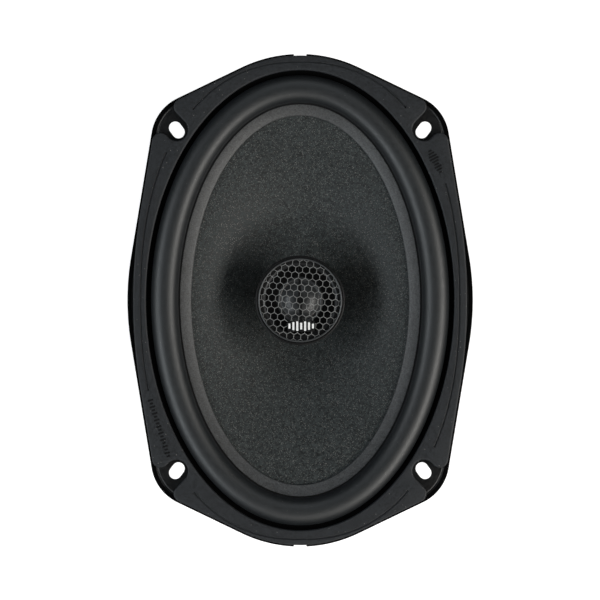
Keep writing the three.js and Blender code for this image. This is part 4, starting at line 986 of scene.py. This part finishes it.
def rule_strands():
    """Strands twisted together along the object's own line of edges."""
    sizes = {"Radius": 0.0005, "Strand": 0.00028, "Lay": 0.005}
    rule = Rule("twisted_strands", Geometry=GEOMETRY, Strands=(WHOLE, 6), **sizes)
    given = rule.given
    line = rule.geo("ResampleCurve", {"Curve": rule.geo("MeshToCurve", {0: given["Geometry"]}), "Count": 160})
    amount = {"Geometry": line, "Amount": given["Strands"]}
    copies = rule.all("GeometryNodeDuplicateElements", amount, domain="SPLINE")
    along = rule.all("GeometryNodeSplineParameter")["Length"]
    twist = rule.sum("MULTIPLY", rule.sum("DIVIDE", along, given["Lay"]), TURN)
    step = rule.sum("DIVIDE", TURN, given["Strands"])
    angle = rule.sum("ADD", twist, rule.sum("MULTIPLY", copies["Duplicate Index"], step))
    axes = {"Vector": rule.geo("InputNormal"), "Axis": rule.geo("InputTangent"), "Angle": angle}
    side = {0: rule.add("ShaderNodeVectorRotate", axes), "Scale": given["Radius"]}
    offset = rule.add("ShaderNodeVectorMath", side, operation="SCALE")
    laid = rule.geo("SetPosition", {"Geometry": copies[0], "Offset": offset})
    section = rule.geo("CurvePrimitiveCircle", {"Resolution": 8, "Radius": given["Strand"]})
    return rule.ended(rule.geo("CurveToMesh", {"Curve": laid, "Profile Curve": section, "Fill Caps": True}))


def generated(name, tree, look, base=None, sharp=35.0, weld=True, **values):
    """Runs a rule on a mesh, or on nothing, and keeps its result as a plain mesh."""
    shape = as_object(name, base or bpy.data.meshes.new(name))
    rule = shape.modifiers.new("rule", "NODES")
    rule.node_group = tree
    values["Material"] = look
    for item in tree.interface.items_tree:
        if item.in_out == "INPUT" and item.name in values:
            rule[item.identifier] = values[item.name]
    return finish_mesh(name, evaluated(shape), look, sharp=sharp, weld=weld)


def moved(obj, x, y, z=0.0):
    obj.data.transform(Matrix.Translation((x * MM, y * MM, z * MM)))
    return obj


# --- Voice coil, dust seal and spider ----------------------------------------------------------------
def turned(name, section, look, body, *replaced, slot, **options):
    """A turned piece on the axis."""
    keep(lathe(name, section, look, **options), body, *replaced, slot=slot)


def tube_section(inner, outer, bottom, top, inside=0.05, outside=0.05):
    """The section of a plain ring, with the roundings of its inner and outer edges."""
    return [(inner, bottom, inside), (outer, bottom, outside), (outer, top, outside), (inner, top, inside)]


former = tube_section(15.9, 16.3, 18.55, 52.2)
turned("coil_former", former, FILM, "cone", "voice_coil_former", slot="film")
COIL = rule_coil()
sizes = {"Radius": 0.01665, "Wire": 0.0003, "Bottom": 0.01855, "Turns": 38}
turns = generated("coil_turns", COIL, COPPER, weld=False, **sizes)
keep(turns, "cone", "voice_coil_winding", slot="copper")
neck_glue = [(16.3, 51.0), (17.6, 51.75, 0.3), (16.9, 51.95, 0.4), (16.3, 52.1)]
turned("neck_glue", neck_glue, GLUE, "cone", slot="rubber", segments=96)
seal = [
    (4.8, 53.5, 0.1), (7.0, 52.9, 0.5), (10.5, 53.5, 1.0), (13.0, 52.6, 0.6), (16.3, 52.3, 0.1),
    (16.3, 53.1, 0.1), (13.0, 53.4, 0.6), (10.5, 54.2, 1.0), (7.0, 53.6, 0.5), (4.8, 54.2, 0.1),
]
turned("dust_seal_cloth", seal, SEAL_CLOTH, "cone", "dust_seal", slot="cloth")

spider = generated("spider_cloth", rule_waved_disc(), CLOTH, sharp=60, Level=0.0402)
bend(spider, "spider")
radial_weights(spider, 0.0)
ring_profile = [(46.4, 40.75), (48.4, 40.2), (48.9, 40.2, 0.2), (48.3, 41.0, 0.3), (47.4, 41.3, 0.4)]
turned("spider_glue", ring_profile, GLUE, "frame", slot="rubber", segments=160)

# --- Motor -------------------------------------------------------------------------------------------
POLE = 15.3
yoke = [
    (4.2, 6.0, 0.2), (8.5, 6.0, 0.1), (8.5, 0.0, 0.4), (42.0, 0.0, 1.2), (42.0, 5.0, 0.5),
    (POLE + 1.2, 5.0, 0.6), (POLE, 6.4, 0.4), (POLE, 28.0, 0.8), (4.2, 28.0, 0.4),
]
groove = joined("wire_groove", [prism(box_outline(5, 44, -2.2, 2.2, 0.1, 2), -1, 2.2)], ZINC)
yoke = carved(lathe("yoke_body", yoke, ZINC, segments=160), groove, bevel=0.2)
keep(yoke, "frame", "t_yoke", slot="zinc")
magnet = tube_section(24.0, 47.5, 5.1, 21.1, 0.8, 0.9)
turned("magnet_ring", magnet, FERRITE, "frame", "ring_magnet", slot="ferrite", segments=192)
top_plate = tube_section(17.55, 42.0, 21.2, 27.4, 0.4, 0.7)
turned("front_plate_body", top_plate, ZINC, "frame", "front_plate", slot="zinc", segments=160)
rivet = [
    (0, 24.0), (2.0, 24.0, 0.2), (2.0, 29.1), (3.6, 29.1, 0.1), (3.4, 29.9, 0.6), (1.6, 30.5, 0.8), (0, 30.4)
]
rivet = lathe("rivet", rivet, ZINC, segments=32, closed=False)
rivet_mesh = rivet.data
discard(rivet)
around = {"Radius": 33.0 * MM, "Count": 4, "Start": TURN / 8}
rivets = generated("basket_rivets", rule_ring(), ZINC, base=rivet_mesh, **around)
keep(rivets, "frame", *[f"basket_rivet_{i + 1}" for i in range(4)], slot="zinc")

post = tube_section(2.3, 3.9, 2.4, 68.0, 0.2, 0.3)
turned("tweeter_post_tube", post, ZINC, "frame", "tweeter_post", slot="zinc", segments=64)
washer = tube_section(4.2, 7.6, 5.4, 5.9, 0.1, 0.15)
turned("post_washer_ring", washer, ZINC, "frame", "post_washer", slot="zinc", segments=64)
hexagon = [(y, x, 0.3) for x, y in circle(5.5 / math.cos(math.pi / 6), count=6)]
nut = plate("post_nut_body", [rounded(hexagon, 3), circle(4.2)], 2.3, 5.3, ZINC, edge=0.35)
keep(nut, "frame", "post_nut", slot="zinc")

# --- Tweeter -----------------------------------------------------------------------------------------
cup = [
    (4.2, 64.5, 0.2), (8.0, 64.5, 0.6), (9.2, 65.6, 1.0), (17.4, 68.6, 3.0), (20.3, 73.5, 3.0),
    (21.2, 80.2, 1.0), (21.2, 82.4, 0.5), (20.7, 82.7, 0.25), (20.2, 82.7, 0.1), (20.2, 81.4, 0.1),
    (17.6, 81.4, 0.2), (17.6, 68.5, 0.5), (4.2, 68.5, 0.2),
]
turned("tweeter_housing", cup, MOULDED, "frame", "tweeter_cup", slot="black_plastic", segments=160, sharp=45)
pot = [(0, 69.5), (13.5, 69.5, 0.4), (13.5, 76.55, 0.4), (9.7, 76.55, 0.2), (9.7, 72.0, 0.2), (0, 72.0)]
magnet = [(0, 72.1), (7.7, 72.1, 0.3), (7.7, 74.38, 0.3), (0, 74.38)]
disc = [(0, 74.48), (8.2, 74.48, 0.3), (8.2, 76.55, 0.4), (0, 76.55)]
STEEL = {"slot": "zinc", "segments": 96, "closed": False}
turned("tweeter_pot_shell", pot, ZINC, "frame", "tweeter_pot", **STEEL)
turned("tweeter_magnet_disc", magnet, ZINC, "frame", "tweeter_magnet", **STEEL)
turned("tweeter_pole_cap", disc, ZINC, "frame", "tweeter_pole_disc", **STEEL)
sizes = {"Radius": 0.0088, "Wire": 0.00022, "Bottom": 0.07435, "Turns": 12}
turns = generated("tweeter_coil_turns", COIL, COPPER, weld=False, **sizes)
keep(turns, "tweeter_dome", "tweeter_coil", slot="copper")
DOME, RISE, DOME_FOOT, SKIN = 8.8, 3.4, 77.15, 0.3
crown = (DOME**2 + RISE**2) / (2 * RISE)
angles = [math.asin(DOME / crown) * (24 - k) / 24 for k in range(25)]
dome = [(crown * math.sin(a), DOME_FOOT + RISE + SKIN - crown * (1 - math.cos(a))) for a in angles]
dome = [*[(r, z - SKIN) for r, z in dome[::-1]], (9.1, 77.15, 0.05), (9.1, 77.35, 0.05), *dome]
dome = lathe("tweeter_dome_cap", dome, SILK, segments=96, closed=False, sharp=50)
keep(dome, "tweeter_dome", "tweeter_dome", slot="silk")
roll = [
    (9.15, 76.65, 0.05), (9.5, 77.0, 0.3), (10.2, 77.4, 0.6), (10.9, 76.85, 0.3), (13.1, 76.65, 0.05),
    (13.1, 76.95, 0.05), (11.0, 77.15, 0.3), (10.2, 77.75, 0.7), (9.4, 77.3, 0.3), (9.15, 76.95, 0.05),
]
turned("tweeter_roll", roll, SILK, "frame", "tweeter_suspension", slot="silk", segments=96, sharp=50)
horn = [
    (11.2, 77.05, 0.1), (17.3, 77.05, 0.1), (17.3, 79.6, 0.1), (15.9, 79.6, 0.5), (12.9, 78.5, 1.2),
    (11.2, 78.05, 0.3),
]
turned("tweeter_horn", horn, HORN, "frame", "tweeter_faceplate", slot="black_plastic")
bar = []
for end, half_turn in ((1, 0), (-1, math.pi)):
    angles = [math.radians(-60 + 12 * k) + half_turn for k in range(11)]
    bar += [(0.9 * end, -17.0 * end), (0.9 * end, -2.6 * end)]
    bar += [*[(2.1 * math.cos(a), 2.1 * math.sin(a)) for a in angles], (0.9 * end, 2.6 * end)]
keep(plate("guard_bar", [bar], 81.2, 81.8, MOULDED), "frame", "dome_guard", slot="black_plastic")
rim = [
    (19.1, 81.5, 0.15), (19.9, 81.5, 0.15), (19.9, 82.75, 0.3), (19.55, 83.0, 0.25), (19.2, 82.85, 0.15),
    (19.1, 82.3, 0.1),
]
turned("grille_ring", rim, RIM, "frame", "grille_rim", slot="grille_steel", segments=160, sharp=50)
mesh = generated("grille_mesh", rule_hex_sheet(), GRILLE, Bulge=0.0009, Bar=0.00028, Radius=0.0192)
mesh.data.shade_smooth()
keep(moved(mesh, 0, 0, 82.3), "frame", "tweeter_grille", slot="grille_steel")
seat = [(16.2, 79.65, 0.1), (19.3, 79.65, 0.1), (19.3, 81.0, 0.1), (18.1, 81.0, 0.2), (16.9, 80.3, 0.6)]
turned("grille_seat", seat, BLACK_PLATE, "frame", slot="black_plastic")

backing = plate("badge_backing", [box_outline(-6.0, 7.0, -14.9, -9.6, 0.8)], 82.6, 82.8, MOULDED, edge=0.05)
keep(backing, "frame", "grille_badge", slot="black_plastic")
levels = []
for i, rise in enumerate((0.55, 0.85, 1.0, 0.7, 1.0, 0.8, 0.5)):
    x = 0.5 + (i - 3) * 1.85
    half = 2.25 * rise
    levels.append(prism(box_outline(x - 0.48, x + 0.48, -12.2 - half, -12.2 + half, 0.2, 3), 82.78, 82.98))
keep(joined("badge_levels", levels, WHITE), "frame", slot="badge")


def ticks(name, start, stop, rises, wide, tall):
    """A row of plain raised ticks on the trim ring."""
    along = Vector(stop) - Vector(start)
    turn = math.atan2(along.y, along.x)
    c, s = math.cos(turn), math.sin(turn)
    made = []
    for i, rise in enumerate(rises):
        middle = Vector(start) + along * (i + 0.5) / len(rises)
        flat = box_outline(-wide / 2, wide / 2, -tall * rise / 2, tall * rise / 2, 0.15, 3)
        outline = [(middle.x + c * x - s * y, middle.y + s * x + c * y) for x, y in flat]
        made.append(prism(outline, TRIM_TOP - 0.1, TRIM_TOP + 0.16))
    keep(joined(name, made, MOULDED), "frame", slot="trim_plastic")


LEVELS = (0.35, 0.62, 0.9, 1.0, 0.72, 0.5, 0.8, 0.58, 0.3)
ticks("trim_levels", (61.2, 71.4), (66.9, 60.2), LEVELS, 0.75, 4.6)
ticks("trim_dashes", (-71.2, -46.6), (-62.2, -74.6), [1.0, 0.6] * 9, 0.8, 2.6)

# --- Terminals and crossover -------------------------------------------------------------------------
TAB_X = 53.5
TABS = (("positive", -6.0, 4.8), ("negative", -17.0, 2.8))
board = [box_outline(48.5, 64, -27, 27, 2.5), *[circle(1.8, TAB_X, y, 24) for _, y, _ in TABS], *EAR_HOLES]
board = plate("terminal_board_sheet", board, 36.9, 38.5, BOARD, edge=0.12)
keep(board, "frame", "terminal_board", slot="board")
for label, y, width in TABS:
    blade = [(50.5, -3, 0.8), (57.5, -3, 0.8), (59.0, -width / 2, 0.5), (73.3, -width / 2, 0.4)]
    blade.append((74.5, 0.6 - width / 2, 0.2))
    blade = [(px, y + py, r) for px, py, r in blade] + [(px, y - py, r) for px, py, r in blade[::-1]]
    holes = [circle(1.8, TAB_X, y, 24), circle(0.7, 71.5, y, 16)]
    tab = plate(f"{label}_blade", [rounded(blade), *holes], 36.0, 36.8, BRASS, edge=0.15)
    keep(tab, "frame", f"{label}_terminal_tab", slot="brass")
eyelet = [
    (0, 35.0), (1.3, 35.0, 0.1), (1.9, 35.3, 0.2), (2.0, 35.9), (1.5, 35.9), (1.5, 38.6), (2.5, 38.6),
    (2.4, 39.1, 0.3), (1.6, 39.4, 0.3), (0, 39.2),
]
small = [
    (0, 36.9), (1.5, 36.9, 0.2), (1.5, 40.2), (2.5, 40.2, 0.1), (2.3, 40.8, 0.5), (1.2, 41.2, 0.5), (0, 41.15)
]
joint = [(0, 0.0), (1.5, 0.0), (1.35, -0.35, 0.3), (0.6, -1.0, 0.4), (0, -1.05)]
for i, (_, y, _) in enumerate(TABS):
    made = moved(lathe(f"eyelet_{i + 1}", eyelet, BRASS, segments=40, closed=False), TAB_X, y)
    keep(made, "frame", f"terminal_eyelet_{i + 1}", slot="brass")
for i, y in enumerate((24, -24)):
    made = moved(lathe(f"board_fastener_{i + 1}", small, ZINC, segments=32, closed=False), 61, y)
    keep(made, "frame", f"board_rivet_{i + 1}", slot="zinc")
can = [
    (0, -9.0), (2.6, -9.0, 0.2), (2.9, -8.7, 0.2), (3.9, -8.9, 0.3), (4.5, -8.3, 0.6), (4.5, 6.4, 0.4),
    (4.25, 6.9, 0.3), (4.5, 7.4, 0.4), (4.5, 8.6, 0.5), (3.7, 9.0, 0.3), (0, 8.8),
]
capacitor = lathe("capacitor_can", can, SHRINK, segments=64, closed=False)
capacitor.data.transform(Matrix.Translation((0.055, 0.014, 0.0323)) @ Matrix.Rotation(-math.pi / 2, 4, "X"))
keep(capacitor, "frame", "crossover_capacitor", slot="capacitor_sleeve")

# --- Wires -------------------------------------------------------------------------------------------
CLIMB = 48.8


def tweeter_lead(y, finish):
    down = [(0, y, 68.2), (0, y, 35.2), (0, y, 5.4), (0.6, y, 2.4), (2.2, y, 1.1)]
    groove = [(5.9, y, 1.1), (21, y, 1.1), (CLIMB - 3, y, 1.1), (CLIMB - 0.6, y, 1.9)]
    return smooth_path([*down, *groove, (CLIMB, y, 4.6), (CLIMB, y, 21.2), *finish])


to_capacitor = [(CLIMB + 0.5, 0.95, 28.3), (51.9, 1.35, 31.5), (55, 2.9, 32.3), (55, 4.7, 32.3)]
to_board = [(CLIMB + 0.3, -0.95, 30.9), (50.0, -0.95, 34.9), (50.0, -0.95, 36.8)]
positive, negative = tweeter_lead(0.95, to_capacitor), tweeter_lead(-0.95, to_board)
link = smooth_path([(55, 23.1, 32.3), (55, 24.5, 32.6), (55, 25.1, 34.3), (55, 25.1, 36.8)])
keep(tube("tweeter_wire_red", positive, 0.68, RED), "frame", "tweeter_lead_positive", slot="red_sleeve")
keep(tube("tweeter_wire_black", negative, 0.68, BLACK), "frame", "tweeter_lead_negative", slot="black_sleeve")
keep(tube("capacitor_wire", link, 0.38, SOLDER), "frame", "capacitor_lead", slot="tinsel")
for i, (x, y) in enumerate(((50.0, -0.95), (55.0, 25.1))):
    made = lathe(f"solder_joint_{i + 1}", joint, SOLDER, segments=32, closed=False)
    keep(moved(made, x, y, 36.88), "frame", slot="tinsel")

STRANDS = rule_strands()
CONE_SHARE = 0.36  # where the tinsel leads meet the cone's back, as a share of its slope
cone_x = NECK_RADIUS + (LIP_EDGE - NECK_RADIUS) * CONE_SHARE
cone_back = cone_height(CONE_SHARE) - 1.9
dab = [(0, 0.3), (2.0, 0.1, 0.3), (1.5, -0.5, 0.4), (0.7, -1.0, 0.4), (0, -1.05)]
for i, (label, y, _) in enumerate(TABS):
    inward = -(4.5 + 6 * i)
    rise = [(TAB_X, y, 39.5), (53.3, y, 42.5), (52.0, y, 48.6), (46.5, (2 * y + inward) / 3, 50.6)]
    rise += [(cone_x + 7, (y + 2 * inward) / 3, 50.6), (cone_x + 1.5, inward, cone_back - 4.5)]
    path = smooth_path([*rise, (cone_x, inward, cone_back)])
    line = bpy.data.meshes.new("lead_line")
    line.from_pydata([tuple(p * MM) for p in path], [(k, k + 1) for k in range(len(path) - 1)], [])
    lead = generated(f"tinsel_{label}", STRANDS, TINSEL, base=line, sharp=60, weld=False)
    bend(lead, f"tinsel_lead_{label}")
    made = lathe(f"lead_dab_{label}", dab, GLUE, segments=32, closed=False)
    keep(moved(made, cone_x, inward, cone_back + 0.3), "cone", slot="rubber")


# --- Floor, light and camera -------------------------------------------------------------------------
bpy.ops.mesh.primitive_grid_add(x_subdivisions=8, y_subdivisions=8, size=6, location=(0, 0, -0.0005))
floor = bpy.context.object
floor.name = "floor"
floor.data.materials.append(FLOOR)


def soft_light(name, place, size, power, colour):
    """A rectangular lamp that looks at the middle of the speaker."""
    lamp = bpy.data.lights.new(name, "AREA")
    lamp.shape, lamp.size, lamp.size_y = "RECTANGLE", *size
    lamp.energy, lamp.color = power, colour
    made = as_object(name, lamp)
    made.location = place
    made.rotation_euler = (Vector((0, 0, 0.05)) - Vector(place)).to_track_quat("-Z", "Y").to_euler()


COOL, WARM = (0.9, 0.96, 1.0), (1.0, 0.975, 0.93)
soft_light("light_top", (0.0, 1.15, 1.25), (1.2, 0.7), 3.1, COOL)
soft_light("light_bottom", (0.1, -1.15, 1.1), (1.0, 0.6), 3.5, WARM)
soft_light("light_left", (-1.0, -0.3, 0.85), (1.4, 0.36), 9, COOL)
soft_light("light_right", (1.0, -0.35, 0.85), (1.4, 0.4), 14, WARM)

world = bpy.data.worlds.new("studio")
world.use_nodes = True
feed(world.node_tree, world.node_tree.nodes["Background"], {"Color": (1, 1, 1, 1), "Strength": 0.006})
bpy.context.scene.world = world
bpy.context.scene.view_settings.view_transform = "Standard"

CAMERA_HEIGHT, FOCUS_HEIGHT = 1.7, 0.0765
VIEW_WIDTH = 0.2848
camera = bpy.data.cameras.new("camera")
camera.sensor_width = 36
camera.lens = 36 * (CAMERA_HEIGHT - FOCUS_HEIGHT) / VIEW_WIDTH
camera.clip_end = 20
eye = as_object("camera", camera)
eye.location = (-0.00007, 0.00014, CAMERA_HEIGHT)
bpy.context.scene.camera = eye
